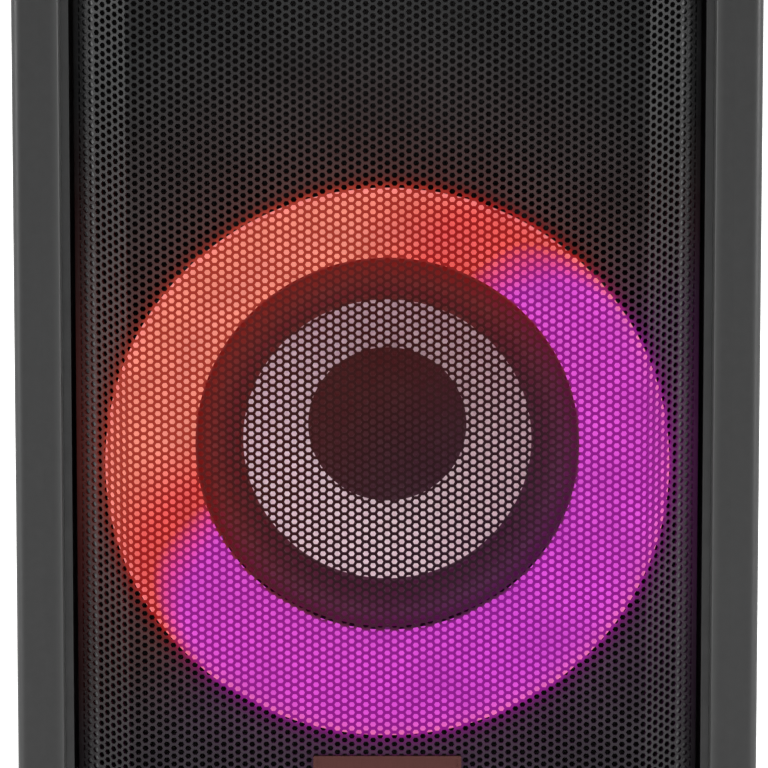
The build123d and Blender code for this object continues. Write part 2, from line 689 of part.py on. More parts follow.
def woofer_basket():
    landing_y = BASKET_REAR_Y - BASKET_LANDING
    profile = outline(
        (ROLL_OUTER_R, FLANGE_FRONT_Y),
        (FLANGE_R, FLANGE_FRONT_Y),
        (FLANGE_R, BAFFLE_FRONT_Y),
        (BASKET_MOUTH_R, BAFFLE_FRONT_Y),
        (BASKET_REAR_R, landing_y + 0.6),
        (BASKET_REAR_R, BASKET_REAR_Y),
        (FORMER_R + 9, BASKET_REAR_Y),
        (FORMER_R + 9, BASKET_REAR_Y - 2.5),
        (SPIDER_R - 8, BASKET_REAR_Y - 2.5),
        (SPIDER_R - 8, landing_y),
        (BASKET_REAR_R - 2.2, landing_y),
        (BASKET_MOUTH_R - BASKET_SHEET, BAFFLE_FRONT_Y),
    )
    basket = turned(profile, 0, WOOFER_Z)
    half = BASKET_WINDOW / 2
    window = block(
        SPIDER_R - 6, FLANGE_R + 12, BAFFLE_FRONT_Y + 6, landing_y - 4, -half, half
    )
    for i in range(WOOFER_SCREWS):
        turn = (i + 0.5) * 360 / WOOFER_SCREWS
        basket -= Pos(0, 0, WOOFER_Z) * Rot(0, turn, 0) * window
    for x, z in woofer_screw_places():
        basket -= rod_y(x, z, SCREW_R + 0.1, FLANGE_FRONT_Y - 1, BAFFLE_FRONT_Y + 1)
    # terminal block for the lead
    x, y, z = WOOFER_LEAD[0]
    basket += block(x - 7, x + 7, y - 4, BASKET_REAR_Y, WOOFER_Z + BASKET_REAR_R - 3, z)
    return basket


def woofer_gasket():
    ring_y = FLANGE_FRONT_Y - RUBBER
    ring = rod_y(0, WOOFER_Z, FLANGE_R, ring_y - GASKET, ring_y)
    ring -= rod_y(0, WOOFER_Z, ROLL_OUTER_R + 0.8, ring_y - 3.5, ring_y + 1)
    for x, z in woofer_screw_places():
        ring -= rod_y(x, z, SCREW_R + 0.1, ring_y - 4, ring_y + 1)
    return ring


def woofer_surround():
    """Half-roll rubber edge between the flange and the cone."""
    middle = (ROLL_OUTER_R + ROLL_INNER_R) / 2
    radius = (ROLL_OUTER_R - ROLL_INNER_R) / 2
    base, top = FLANGE_FRONT_Y, FLANGE_FRONT_Y - RUBBER
    roll = Pos(middle, base) * (Circle(radius) - Circle(radius - RUBBER))
    roll &= Pos(middle, base - radius) * Rectangle(3 * radius, 2 * radius)
    outer = outline(
        (ROLL_OUTER_R - RUBBER, base), (FLANGE_R - 1, base),
        (FLANGE_R - 1, top), (ROLL_OUTER_R - RUBBER, top),
    )
    inner = outline(
        (ROLL_INNER_R - CONE_LIP, base), (ROLL_INNER_R + RUBBER, base),
        (ROLL_INNER_R + RUBBER, top), (ROLL_INNER_R - CONE_LIP, top),
    )
    ring = turned(roll + outer + inner, 0, WOOFER_Z)
    for x, z in woofer_screw_places():
        ring -= rod_y(x, z, SCREW_R + 0.1, top - 1, base + 1)
    return ring


def cone_slope():
    """Rise along Y for each millimetre of radius on the cone."""
    return (CONE_NECK_Y - FLANGE_FRONT_Y) / (ROLL_INNER_R - CONE_LIP - FORMER_R)


def woofer_cone():
    lip_in = ROLL_INNER_R - CONE_LIP
    depth = CONE_PAPER * sqrt(1 + cone_slope() ** 2)
    profile = outline(
        (ROLL_INNER_R, FLANGE_FRONT_Y),
        (ROLL_INNER_R, FLANGE_FRONT_Y + CONE_PAPER),
        (lip_in + 0.6, FLANGE_FRONT_Y + CONE_PAPER),
        (FORMER_R, CONE_NECK_Y + depth),
        (FORMER_R, CONE_NECK_Y),
        (lip_in, FLANGE_FRONT_Y),
    )
    return turned(profile, 0, WOOFER_Z)


def woofer_dust_cap():
    edge_y = FLANGE_FRONT_Y + (ROLL_INNER_R - CONE_LIP - CAP_DOME_R) * cone_slope()
    sphere_r = (CAP_DOME_R ** 2 + CAP_DOME_RISE ** 2) / (2 * CAP_DOME_RISE)
    centre_y = edge_y - CAP_DOME_RISE + sphere_r
    disc = Pos(0, centre_y) * (Circle(sphere_r) - Circle(sphere_r - DOME_SKIN))
    disc &= outline((0, edge_y - 60), (CAP_DOME_R, edge_y - 60), (CAP_DOME_R, edge_y), (0, edge_y))
    # the rim stands on the cone's face
    behind = outline(
        (0, CONE_NECK_Y + 20), (0, CONE_NECK_Y), (FORMER_R, CONE_NECK_Y),
        (ROLL_INNER_R - CONE_LIP, FLANGE_FRONT_Y), (ROLL_INNER_R, CONE_NECK_Y + 20),
    )
    return turned(disc - behind, 0, WOOFER_Z)


def woofer_voice_coil():
    mid_gap = BASKET_REAR_Y + TOP_PLATE / 2
    y0, y1 = mid_gap - WINDING_LENGTH / 2, mid_gap + WINDING_LENGTH / 2
    inner = FORMER_R - FORMER_WALL
    profile = outline(
        (inner, CONE_NECK_Y), (FORMER_R, CONE_NECK_Y), (FORMER_R, y0), (FORMER_R + WINDING, y0),
        (FORMER_R + WINDING, y1), (FORMER_R, y1), (FORMER_R, y1 + 2), (inner, y1 + 2),
    )
    return turned(profile, 0, WOOFER_Z)


def woofer_spider():
    """Corrugated disc that centres the coil: flat rims and three waves between them."""
    y_mid = BASKET_REAR_Y - BASKET_LANDING - SPIDER_CLOTH
    start, end = FORMER_R + 3.0, SPIDER_R - 7.0
    steps = SPIDER_WAVES * 4
    top = [(FORMER_R + 0.15, y_mid)]
    for i in range(steps + 1):
        wave = SPIDER_WAVE * abs(sin(i * pi / 4))
        top.append((start + (end - start) * i / steps, y_mid - wave))
    top.append((SPIDER_R, y_mid))
    bottom = [(r, y + SPIDER_CLOTH) for r, y in reversed(top)]
    return turned(outline(*top, *bottom), 0, WOOFER_Z)


def woofer_top_plate():
    plate = rod_y(0, WOOFER_Z, MAGNET_R - 4, BASKET_REAR_Y, BASKET_REAR_Y + TOP_PLATE)
    bore = FORMER_R + WINDING + COIL_GAP
    return plate - rod_y(0, WOOFER_Z, bore, BASKET_REAR_Y - 1, BASKET_REAR_Y + TOP_PLATE + 1)


def woofer_magnet():
    y0 = BASKET_REAR_Y + TOP_PLATE
    ring = rod_y(0, WOOFER_Z, MAGNET_R, y0, y0 + MAGNET_THICKNESS)
    ring -= rod_y(0, WOOFER_Z, FORMER_R + 12, y0 - 1, y0 + MAGNET_THICKNESS + 1)
    return chamfer(ring.edges().filter_by(GeomType.CIRCLE).sort_by(SortBy.RADIUS)[-2:], 1.0)


def woofer_yoke():
    y0 = BASKET_REAR_Y + TOP_PLATE + MAGNET_THICKNESS
    yoke = rod_y(0, WOOFER_Z, MAGNET_R - 4, y0, y0 + BACK_PLATE)
    yoke += rod_y(0, WOOFER_Z, FORMER_R - FORMER_WALL - POLE_GAP, BASKET_REAR_Y, y0 + 1)
    return yoke - rod_y(0, WOOFER_Z, 4.0, BASKET_REAR_Y - 1, y0 + BACK_PLATE + 1)


def woofer_screws():
    seat = FLANGE_FRONT_Y - RUBBER - GASKET
    reach = BAFFLE_REAR_Y - seat
    return Compound([screw_y(x, z, seat, 1, reach) for x, z in woofer_screw_places()])


# ---------------------------------------------------------------- ring light

def flare_arc(inset):
    """The flare's curve from rim to lip, moved back by a thickness."""
    chord = Vector(RING_INNER_R - RING_OUTER_R, RING_LIP_Y - RING_FRONT_Y)
    across = Vector(chord.Y, -chord.X).normalized()
    if across.Y > 0:
        across = across * -1
    rim = Vector(RING_OUTER_R, RING_FRONT_Y) - across * inset
    lip = Vector(RING_INNER_R, RING_LIP_Y) - across * inset
    swell = (rim + lip) * 0.5 + across * RING_BULGE
    return rim, swell, lip


def ring_light_diffuser():
    rim, swell, lip = flare_arc(0)
    rim_back, swell_back, lip_back = flare_arc(DIFFUSER)
    edges = [
        ThreePointArc(rim, swell, lip),
        Line(lip, lip_back),
        ThreePointArc(lip_back, swell_back, rim_back),
        Line(rim_back, rim),
    ]
    flare = turned(make_face(edges), 0, WOOFER_Z)
    return flare & rod_y(0, WOOFER_Z, RING_OUTER_R, FRONT_Y, BAFFLE_FRONT_Y)


def ring_light_housing():
    """Open tray behind the diffuser: back plate, outer wall and inner wall, cut to the flare."""
    rim, swell, lip = flare_arc(DIFFUSER)
    rear = BAFFLE_FRONT_Y
    plate = outline(
        (HOUSING_INNER_R, rear - HOUSING_WALL), (RING_OUTER_R, rear - HOUSING_WALL),
        (RING_OUTER_R, rear), (HOUSING_INNER_R, rear),
    )
    walls = plate
    for radius in (HOUSING_INNER_R, RING_OUTER_R - HOUSING_WALL):
        walls += outline(
            (radius, FRONT_Y), (radius + HOUSING_WALL, FRONT_Y),
            (radius + HOUSING_WALL, rear), (radius, rear),
        )
    far_rim = rim + Vector(10, rim.Y - swell.Y)
    ahead = make_face([
        ThreePointArc(rim, swell, lip),
        Line(lip, (lip.X, FRONT_Y - 5)),
        Line((lip.X, FRONT_Y - 5), (far_rim.X, FRONT_Y - 5)),
        Line((far_rim.X, FRONT_Y - 5), (far_rim.X, rim.Y)),
        Line((far_rim.X, rim.Y), rim),
    ])
    tray = turned(walls - ahead, 0, WOOFER_Z)
    x, _, z = RING_LEAD[0]
    return tray - rod_y(x, z, LEAD_R + 2, rear - HOUSING_WALL - 1, rear + 1)


def ring_board_limits():
    y1 = BAFFLE_FRONT_Y - HOUSING_WALL
    return HOUSING_INNER_R + HOUSING_WALL + FIT, RING_OUTER_R - HOUSING_WALL - FIT, y1 - BOARD, y1


def ring_light_board():
    r0, r1, y0, y1 = ring_board_limits()
    return rod_y(0, WOOFER_Z, r1, y0, y1) - rod_y(0, WOOFER_Z, r0, y0 - 1, y1 + 1)


def ring_light_leds():
    _, _, y0, _ = ring_board_limits()
    half = LED_SIDE / 2
    chips = []
    for i in range(LED_COUNT):
        chip = block(LED_CIRCLE_R - half, LED_CIRCLE_R + half, y0 - LED_HEIGHT, y0, -half, half)
        chips.append(Pos(0, 0, WOOFER_Z) * Rot(0, (i + 0.5) * 360 / LED_COUNT, 0) * chip)
    return Compound(chips)


# ---------------------------------------------------------------- tweeters

def tweeter_frame(x):
    front = BAFFLE_FRONT_Y - TWEETER_FLANGE
    throat = TWEETER_DOME_R + 1.0
    rear = BAFFLE_REAR_Y + 2
    mouth = TWEETER_R - 4
    edges = [
        Line((mouth, front), (TWEETER_R, front)),
        Line((TWEETER_R, front), (TWEETER_R, BAFFLE_FRONT_Y)),
        Line((TWEETER_R, BAFFLE_FRONT_Y), (TWEETER_BODY_R, BAFFLE_FRONT_Y)),
        Line((TWEETER_BODY_R, BAFFLE_FRONT_Y), (TWEETER_BODY_R, rear)),
        Line((TWEETER_BODY_R, rear), (throat, rear)),
        Line((throat, rear), (throat, rear - 5)),
        ThreePointArc((throat, rear - 5), ((throat + mouth) / 2 - 3, front + 4.6), (mouth, front)),
    ]
    return turned(make_face(edges), x, TWEETER_Z)


def tweeter_magnet(x):
    y0 = BAFFLE_REAR_Y + 2
    body = rod_y(x, TWEETER_Z, TWEETER_MAGNET_R, y0, y0 + TWEETER_MAGNET_LENGTH)
    slot = rod_y(x, TWEETER_Z, TWEETER_DOME_R + 0.7, y0 - 1, y0 + 10)
    slot -= rod_y(x, TWEETER_Z, TWEETER_DOME_R - 1.2, y0 - 2, y0 + 11)
    return body - slot


def tweeter_dome(x):
    base = BAFFLE_REAR_Y
    rise = 4.5
    sphere_r = (TWEETER_DOME_R ** 2 + rise ** 2) / (2 * rise)
    disc = Pos(0, base - rise + sphere_r) * (Circle(sphere_r) - Circle(sphere_r - 0.5))
    disc &= outline((0, base - 20), (TWEETER_DOME_R, base - 20), (TWEETER_DOME_R, base), (0, base))
    r0, r1 = TWEETER_DOME_R - 0.6, TWEETER_DOME_R
    disc += outline((r0, base - 0.6), (r1, base - 0.6), (r1, base + 9), (r0, base + 9))
    return turned(disc, x, TWEETER_Z)


# ---------------------------------------------------------------- control panel

def control_panel():
    px, py = PANEL_SIZE[0] / 2 - FIT, PANEL_SIZE[1] / 2 - FIT
    panel = block(-px, px, PANEL_Y - py, PANEL_Y + py, PANEL_BOTTOM_Z, PANEL_TOP_Z)
    panel = chamfer(panel.faces().sort_by(Axis.Z)[-1].outer_wire().edges(), 0.5)
    for x, y, radius in BUTTONS.values():
        panel -= rod_z(x, PANEL_Y + y, radius + FIT, PANEL_BOTTOM_Z - 1, PANEL_TOP_Z + 1)
    for x, y in board_posts():
        panel += rod_z(x, y, 3.0, CONTROL_BOARD_TOP_Z, PANEL_BOTTOM_Z)
    return panel


def board_posts():
    px, py = PANEL_SIZE[0] / 2 - PANEL_LEDGE - 8, PANEL_SIZE[1] / 2 - PANEL_LEDGE - 8
    return [(sx * px, PANEL_Y + sy * py) for sx in (-1, 1) for sy in (-1, 1)]


def control_board():
    """Board with one tactile switch under each button."""
    px, py = PANEL_SIZE[0] / 2 - PANEL_LEDGE - 3, PANEL_SIZE[1] / 2 - PANEL_LEDGE - 3
    top = CONTROL_BOARD_TOP_Z
    board = block(-px, px, PANEL_Y - py, PANEL_Y + py, top - BOARD, top)
    for x, from_middle, _ in BUTTONS.values():
        y = PANEL_Y + from_middle
        board += block(x - 3, x + 3, y - 3, y + 3, top - 0.5, top + 4.5)
        board += rod_z(x, y, 1.6, top + 4, switch_top())
    return board


def switch_top():
    return CONTROL_BOARD_TOP_Z + 5.5


def push_button(x, from_middle, radius):
    """Cap through the panel, retaining rim under it and a stem down to the switch."""
    y = PANEL_Y + from_middle
    top = PANEL_TOP_Z + BUTTON_PROUD
    rim_top = PANEL_BOTTOM_Z - FIT
    button = rod_z(x, y, radius, rim_top - 1.5, top)
    button = fillet(button.edges().filter_by(GeomType.CIRCLE).sort_by(Axis.Z)[-1], 0.6)
    button += rod_z(x, y, radius + 1.2, rim_top - 1.5, rim_top)
    return button + rod_z(x, y, 2.0, switch_top() + BUTTON_TRAVEL + FIT, rim_top - 1)


# ---------------------------------------------------------------- rear sockets

def io_panel():
    hx, hz = IO_SIZE[0] / 2, IO_SIZE[1] / 2
    flange_y = SHELL_REAR_Y + IO_FLANGE_THICKNESS
    panel = block(-hx, hx, IO_PLATE_Y, flange_y, IO_Z - hz, IO_Z + hz)
    panel += block(
        -hx - IO_FLANGE, hx + IO_FLANGE, SHELL_REAR_Y, flange_y,
        IO_Z - hz - IO_FLANGE, IO_Z + hz + IO_FLANGE,
    )
    panel -= block(
        -hx + IO_WALL, hx - IO_WALL, IO_PLATE_Y + IO_WALL, flange_y + 1,
        IO_Z - hz + IO_WALL, IO_Z + hz - IO_WALL,
    )
    # holes for jacks, knobs and the data socket
    y0, y1 = IO_PLATE_Y - 1, IO_PLATE_Y + IO_WALL + 1
    for x in (MIC_X, GUITAR_X):
        panel -= rod_y(x, JACK_ROW_Z, JACK_R + 2.5, y0, y1)
        panel -= rod_y(x, KNOB_ROW_Z, KNOB_SHAFT_R + FIT, y0, y1)
    panel -= rod_y(AUX_X, JACK_ROW_Z, AUX_R + 1.7, y0, y1)
    panel -= block(
        USB_X - USB_HALF[0], USB_X + USB_HALF[0], y0, y1,
        JACK_ROW_Z - USB_HALF[1], JACK_ROW_Z + USB_HALF[1],
    )
    for x, z in io_screw_places():
        panel -= rod_y(x, z, SCREW_R + 0.1, SHELL_REAR_Y - 1, flange_y + 1)
        panel -= rod_y(x, z, SCREW_HEAD_R + 0.1, flange_y - 1.2, flange_y + 1)
    # posts that carry the amplifier board
    for x, z in amplifier_posts():
        panel += rod_y(x, z, 3.0, AMP_BOARD_Y + BOARD, IO_PLATE_Y + 1)
    # hinge ears under the flange
    for side in (-1, 1):
        x0, x1 = sorted((side * EAR_INNER_X, side * EAR_OUTER_X))
        ear = block(x0, x1, SHELL_REAR_Y, flange_y, HINGE_Z, IO_Z - hz - IO_FLANGE + 1)
        ear += rod_x(HINGE_Y, HINGE_Z, HINGE_R, x0, x1)
        ear -= rod_x(HINGE_Y, HINGE_Z, HINGE_PIN_R, x0 - 1, x1 + 1)
        panel += ear
    return panel


def amplifier_posts():
    return [(sx * AMP_POST_X, IO_Z + sz * AMP_POST_Z) for sx in (-1, 1) for sz in (-1, 1)]


def io_board():
    """Small board behind the sockets, with the two rotary pots."""
    board = block(-62, 62, IO_BOARD_Y - BOARD, IO_BOARD_Y, IO_Z - 28, IO_Z + 28)
    pot_half = 6.0
    for x in (MIC_X, GUITAR_X):
        board += block(
            x - pot_half, x + pot_half, IO_BOARD_Y - 0.5, IO_PLATE_Y - 2,
            KNOB_ROW_Z - pot_half, KNOB_ROW_Z + pot_half,
        )
        board -= rod_y(x, KNOB_ROW_Z, KNOB_SHAFT_R + FIT, IO_PLATE_Y - 14, IO_PLATE_Y)
    return board


def phone_jack(x, z, bore_r, body, bush_r, depth):
    """Panel socket: square body behind the plate, bush through it and a hex nut in front."""
    front = IO_PLATE_Y + IO_WALL
    jack = block(x - body / 2, x + body / 2, IO_BOARD_Y, IO_PLATE_Y, z - body / 2, z + body / 2)
    jack += rod_y(x, z, bush_r, IO_PLATE_Y - 1, front + 3.5)
    nut = extrude(Plane((x, front, z), z_dir=(0, 1, 0)) * RegularPolygon(bush_r + 2.4, 6), amount=2.2)
    jack += nut
    return jack - rod_y(x, z, bore_r, front + 3.5 - depth, front + 4.5)


def audio_jacks():
    return Compound([
        phone_jack(x, JACK_ROW_Z, JACK_R, 16.0, JACK_R + 2.2, 28.0) for x in (MIC_X, GUITAR_X)
    ])


def aux_jack():
    return phone_jack(AUX_X, JACK_ROW_Z, AUX_R, 10.0, AUX_R + 1.5, 15.0)


def usb_port():
    hx, hz = USB_HALF[0] - 0.2, USB_HALF[1] - 0.2
    front = IO_PLATE_Y + IO_WALL + 0.8
    port = block(USB_X - hx, USB_X + hx, IO_BOARD_Y, front, JACK_ROW_Z - hz, JACK_ROW_Z + hz)
    port -= block(
        USB_X - hx + 0.5, USB_X + hx - 0.5, front - 14, front + 1,
        JACK_ROW_Z - hz + 0.5, JACK_ROW_Z + hz - 0.5,
    )
    tongue = block(USB_X - 5.6, USB_X + 5.6, front - 15, front - 1.5, JACK_ROW_Z + 0.6, JACK_ROW_Z + 2.2)
    return port + tongue


def level_knob(x):
    y0 = IO_PLATE_Y + IO_WALL + 1.0
    knob = rod_y(x, KNOB_ROW_Z, KNOB_R, y0, y0 + KNOB_HEIGHT)
    knob = fillet(knob.edges().filter_by(GeomType.CIRCLE).sort_by(Axis.Y)[-1], 1.0)
    top = y0 + KNOB_HEIGHT
    groove = rod_y(KNOB_R + 0.2, 0, 0.6, y0 + 2, top + 1)
    for i in range(KNOB_GROOVES):
        knob -= Pos(x, 0, KNOB_ROW_Z) * Rot(0, i * 360 / KNOB_GROOVES, 0) * groove
    knob -= block(x - 0.5, x + 0.5, top - 0.6, top + 1, KNOB_ROW_Z + 1, KNOB_ROW_Z + KNOB_R + 1)
    return knob + rod_y(x, KNOB_ROW_Z, KNOB_SHAFT_R, IO_PLATE_Y - 12, y0 + 1)


def io_door():
    """Splash door over the sockets: plate, finger lip, hinge barrel with stub axles, inner rib."""
    hx, hz = IO_SIZE[0] / 2 + IO_FLANGE - 1, IO_SIZE[1] / 2 + IO_FLANGE
    y0, y1 = DOOR_INNER_Y, DOOR_INNER_Y + DOOR_THICKNESS
    bottom, top = IO_Z - hz + 1, IO_Z + hz
    door = block(-hx, hx, y0, y1, bottom, top)
    door = fillet(door.edges().filter_by(Axis.Y), 6.0)
    door = chamfer(door.faces().sort_by(Axis.Y)[-1].outer_wire().edges(), 0.8)
    door -= rod_x(y1 + 2.2, top - 9, 3.4, -18, 18)
    hinge_half = EAR_INNER_X - FIT
    door += block(-hinge_half + 2, hinge_half - 2, y0, y0 + 2, HINGE_Z, bottom + 1)
    door += rod_x(HINGE_Y, HINGE_Z, HINGE_R, -hinge_half, hinge_half)
    stub_end = EAR_OUTER_X - 0.5
    door += rod_x(HINGE_Y, HINGE_Z, HINGE_PIN_R - HINGE_PLAY, -stub_end, stub_end)
    # relief over the screws of the flange
    for x, z in io_screw_places():
        door -= rod_y(x, z, SCREW_HEAD_R + 1.5, y0 - 1, y0 + 1.2)
    # shallow rib that seats inside the tray's mouth
    rx, rz = IO_SIZE[0] / 2 - IO_WALL - 0.8, IO_SIZE[1] / 2 - IO_WALL - 0.8
    rib = block(-rx, rx, y0 - 2, y0 + 0.5, IO_Z - rz, IO_Z + rz)
    rib -= block(-rx + 1.6, rx - 1.6, y0 - 3, y0 + 1, IO_Z - rz + 1.6, IO_Z + rz - 1.6)
    return door + rib


# ---------------------------------------------------------------- rear port, battery, mains

def port_tube():
    """Bass port: tube with a flared mouth on the rear wall and a rounded inner end."""
    outer, inner = PORT_R + PORT_WALL, PORT_R
    mouth_y = SHELL_REAR_Y + 2.0
    flare = PORT_FLARE_R - PORT_R - 4
    edges = [
        Line((inner, SHELL_REAR_Y - PORT_LENGTH), (outer, SHELL_REAR_Y - PORT_LENGTH)),
        Line((outer, SHELL_REAR_Y - PORT_LENGTH), (outer, SHELL_REAR_Y)),
        Line((outer, SHELL_REAR_Y), (PORT_FLARE_R, SHELL_REAR_Y)),
        Line((PORT_FLARE_R, SHELL_REAR_Y), (PORT_FLARE_R, mouth_y)),
        Line((PORT_FLARE_R, mouth_y), (inner + flare, mouth_y)),
    ]
    turn = ThreePointArc(
        (inner + flare, mouth_y),
        (inner + 2.3, SHELL_REAR_Y - 2.6),
        (inner, SHELL_REAR_Y - 10),
    )
    edges += [turn, Line((inner, SHELL_REAR_Y - 10), (inner, SHELL_REAR_Y - PORT_LENGTH))]
    return turned(make_face(edges), 0, PORT_Z)


def battery_pack():
    x0, x1, z0, z1, front = battery_limits(-FIT - 0.2)
    pack = block(x0, x1, front + 1.5, SHELL_REAR_Y - 5, BATTERY_BOTTOM_Z, z1 - 1)
    return fillet(pack.edges().filter_by(Axis.Y), 3.0)


def battery_door():
    x0, x1, z0, z1, _ = battery_limits(BATTERY_DOOR_BORDER)
    y0, y1 = SHELL_REAR_Y, SHELL_REAR_Y + BATTERY_DOOR
    door = block(x0, x1, y0, y1, z0, z1)
    door = fillet(door.edges().filter_by(Axis.Y), 6.0)
    door = chamfer(door.faces().sort_by(Axis.Y)[-1].outer_wire().edges(), 0.8)
    x0, x1, z0, z1, _ = battery_limits(-FIT)
    rib = block(x0, x1, y0 - 4, y0 + 0.5, z0, z1)
    door += rib - block(x0 + 2, x1 - 2, y0 - 5, y0, z0 + 2, z1 - 2)
    for x, z in battery_screw_places():
        door -= rod_y(x, z, SCREW_R + 0.1, y0 - 1, y1 + 1)
        door -= rod_y(x, z, SCREW_HEAD_R + 0.1, y1 - 2.2, y1 + 1)
    for i in range(5):
        x = BATTERY_X + (i - 2) * 12.0
        door -= block(x - 2, x + 2, y1 - 0.8, y1 + 1, z0 + 12, z1 - 12)
    return door


def mains_inlet():
    """Figure-8 socket: flange on the wall, deep recess with two pins, ears for the cover."""
    hx, depth, hz = MAINS_BODY[0] / 2, MAINS_BODY[1], MAINS_BODY[2] / 2
    face = SHELL_REAR_Y + MAINS_FLANGE_THICKNESS
    fx, fz = hx + MAINS_FLANGE, hz + MAINS_FLANGE
    inlet = block(MAINS_X - hx, MAINS_X + hx, SHELL_REAR_Y - depth, face, MAINS_Z - hz, MAINS_Z + hz)
    inlet += block(MAINS_X - fx, MAINS_X + fx, SHELL_REAR_Y, face, MAINS_Z - fz, MAINS_Z + fz)
    well_y = face - MAINS_WELL
    inlet -= block(
        MAINS_X - MAINS_PIN_X, MAINS_X + MAINS_PIN_X, well_y, face + 1,
        MAINS_Z - MAINS_LOBE_R, MAINS_Z + MAINS_LOBE_R,
    )
    for side in (-1, 1):
        pin_x = MAINS_X + side * MAINS_PIN_X
        inlet -= rod_y(pin_x, MAINS_Z, MAINS_LOBE_R, well_y, face + 1)
    for side in (-1, 1):
        pin_x = MAINS_X + side * MAINS_PIN_X
        inlet += rod_y(pin_x, MAINS_Z, MAINS_PIN_R, well_y - 1, face - 5)
        x0, x1 = sorted((MAINS_X + side * 9.0, MAINS_X + side * 12.0))
        ear = block(x0, x1, SHELL_REAR_Y, face, COVER_HINGE_Z, MAINS_Z - hz)
        ear += rod_x(COVER_HINGE_Y, COVER_HINGE_Z, COVER_HINGE_R, x0, x1)
        inlet += ear - rod_x(
            COVER_HINGE_Y, COVER_HINGE_Z, COVER_PIN_R + HINGE_PLAY, x0 - 1, x1 + 1
        )
    return inlet


def inlet_cover():
    """Rubber flap: plate, finger lip, plug that fills the recess, barrel with stub axles."""
    hx, hz = MAINS_BODY[0] / 2 + 2.4, MAINS_BODY[2] / 2 + 2.4
    y0 = SHELL_REAR_Y + MAINS_FLANGE_THICKNESS + FIT
    cover = block(MAINS_X - hx, MAINS_X + hx, y0, y0 + 2, MAINS_Z - hz, MAINS_Z + hz)
    cover = fillet(cover.edges().filter_by(Axis.Y), 4.0)
    cover += block(MAINS_X - 5, MAINS_X + 5, y0, y0 + 3.2, MAINS_Z + hz - 4, MAINS_Z + hz - 1)
    plug = block(MAINS_X - 6.5, MAINS_X + 6.5, y0 - 2.5, y0 + 0.5, MAINS_Z - 3.6, MAINS_Z + 3.6)
    cover += fillet(plug.edges().filter_by(Axis.Y), 3.2)
    cover += block(MAINS_X - 8, MAINS_X + 8, y0, y0 + 1.6, COVER_HINGE_Z, MAINS_Z - hz + 1)
    barrel_half = 9.0 - FIT
    for radius, half in ((COVER_HINGE_R, barrel_half), (COVER_PIN_R, 11.6)):
        cover += rod_x(COVER_HINGE_Y, COVER_HINGE_Z, radius, MAINS_X - half, MAINS_X + half)
    return cover


# ---------------------------------------------------------------- electronics

def amplifier_board():
    hx, hz = AMP_BOARD_HALF
    top = AMP_BOARD_Y + BOARD
    board = block(-hx, hx, AMP_BOARD_Y, top, IO_Z - hz, IO_Z + hz)
    # three reservoir capacitors
    for x in (-24, 0, 24):
        board += rod_y(x, IO_Z - 4, 8.0, top - 0.5, top + 14)
    return board


def amplifier_heatsink():
    hx, hz = HEATSINK_HALF
    y1 = AMP_BOARD_Y
    sink = block(-hx, hx, y1 - HEATSINK_BASE, y1, IO_Z - hz, IO_Z + hz)
    first, last = -hx + 1, hx - 1 - FIN
    for i in range(HEATSINK_FINS):
        x = first + i * (last - first) / (HEATSINK_FINS - 1)
        sink += block(
            x, x + FIN, y1 - HEATSINK_DEPTH, y1 - HEATSINK_BASE + 0.5, IO_Z - hz, IO_Z + hz
        )
    return sink


def power_supply():
    """Board with a transformer, two capacitors, a small heatsink and two connectors."""
    z = SUPPLY_BOARD_Z
    hx, hy = SUPPLY_HALF
    board = block(SUPPLY_X - hx, SUPPLY_X + hx, SUPPLY_Y - hy, SUPPLY_Y + hy, z, z + BOARD)
    top = z + BOARD - 0.5
    board += block(-118, -82, -48, -16, top, top + 28)
    for y in (-44, -22):
        board += rod_z(-62, y, 9.0, top, top + 30)
    board += block(-100, -94, -6, 34, top, top + 24)
    board += block(-112, -104, 8, 22, top, SUPPLY_LEAD[0][2])
    mains_y = MAINS_LEAD[-1][1]
    board += block(-48, -36, mains_y - 8, mains_y + 8, top, top + 11)
    return board


# ---------------------------------------------------------------- wiring

WOOFER_LEAD = [
    (0, BASKET_REAR_Y - 5, WOOFER_Z + BASKET_REAR_R + 6),
    (0, BASKET_REAR_Y - 5, 290),
    (26, -22, 326),
    (54, 10, 356),
    (70, AMP_BOARD_Y - 26, 394),
    (70, AMP_BOARD_Y, 394),
]
TWEETER_LEAD = [
    (TWEETER_X, BAFFLE_REAR_Y + 2 + TWEETER_MAGNET_LENGTH, TWEETER_Z - 14),
    (TWEETER_X, -28, TWEETER_Z - 14),
    (TWEETER_X + 10, 10, TWEETER_Z - 22),
    (70, AMP_BOARD_Y - 26, 414),
    (70, AMP_BOARD_Y, 414),
]
RING_LEAD = [
    (0, BAFFLE_FRONT_Y - HOUSING_WALL, WOOFER_Z + LED_CIRCLE_R),
    (0, -52, WOOFER_Z + LED_CIRCLE_R),
    (-28, -18, 316),
    (-52, 14, 352),
    (-70, AMP_BOARD_Y - 26, 400),
    (-70, AMP_BOARD_Y, 400),
]
PANEL_LEAD = [
    (0, -30, CONTROL_BOARD_TOP_Z - BOARD),
    (0, -30, 506),
    (0, -8, 480),
    (0, AMP_BOARD_Y - 34, 474),
    (0, AMP_BOARD_Y, 474),
]
BATTERY_LEAD = [
    (-60, SHELL_REAR_Y - BATTERY_BAY[1] + 2.0, 110),
    (-60, 34, 110),
    (-60, 22, 150),
    (-62, 24, 205),
    (-66, 28, 260),
    (-72, 32, 315),
    (-72, AMP_BOARD_Y - 26, 390),
    (-72, AMP_BOARD_Y, 390),
]
SUPPLY_LEAD = [
    (-108, 15, 66),
    (-108, 15, 112),
    (-106, 17, 166),
    (-104, 20, 222),
    (-100, 24, 278),
    (-94, 28, 334),
    (-84, 34, 386),
    (-74, AMP_BOARD_Y - 22, 428),
    (-74, AMP_BOARD_Y, 428),
]
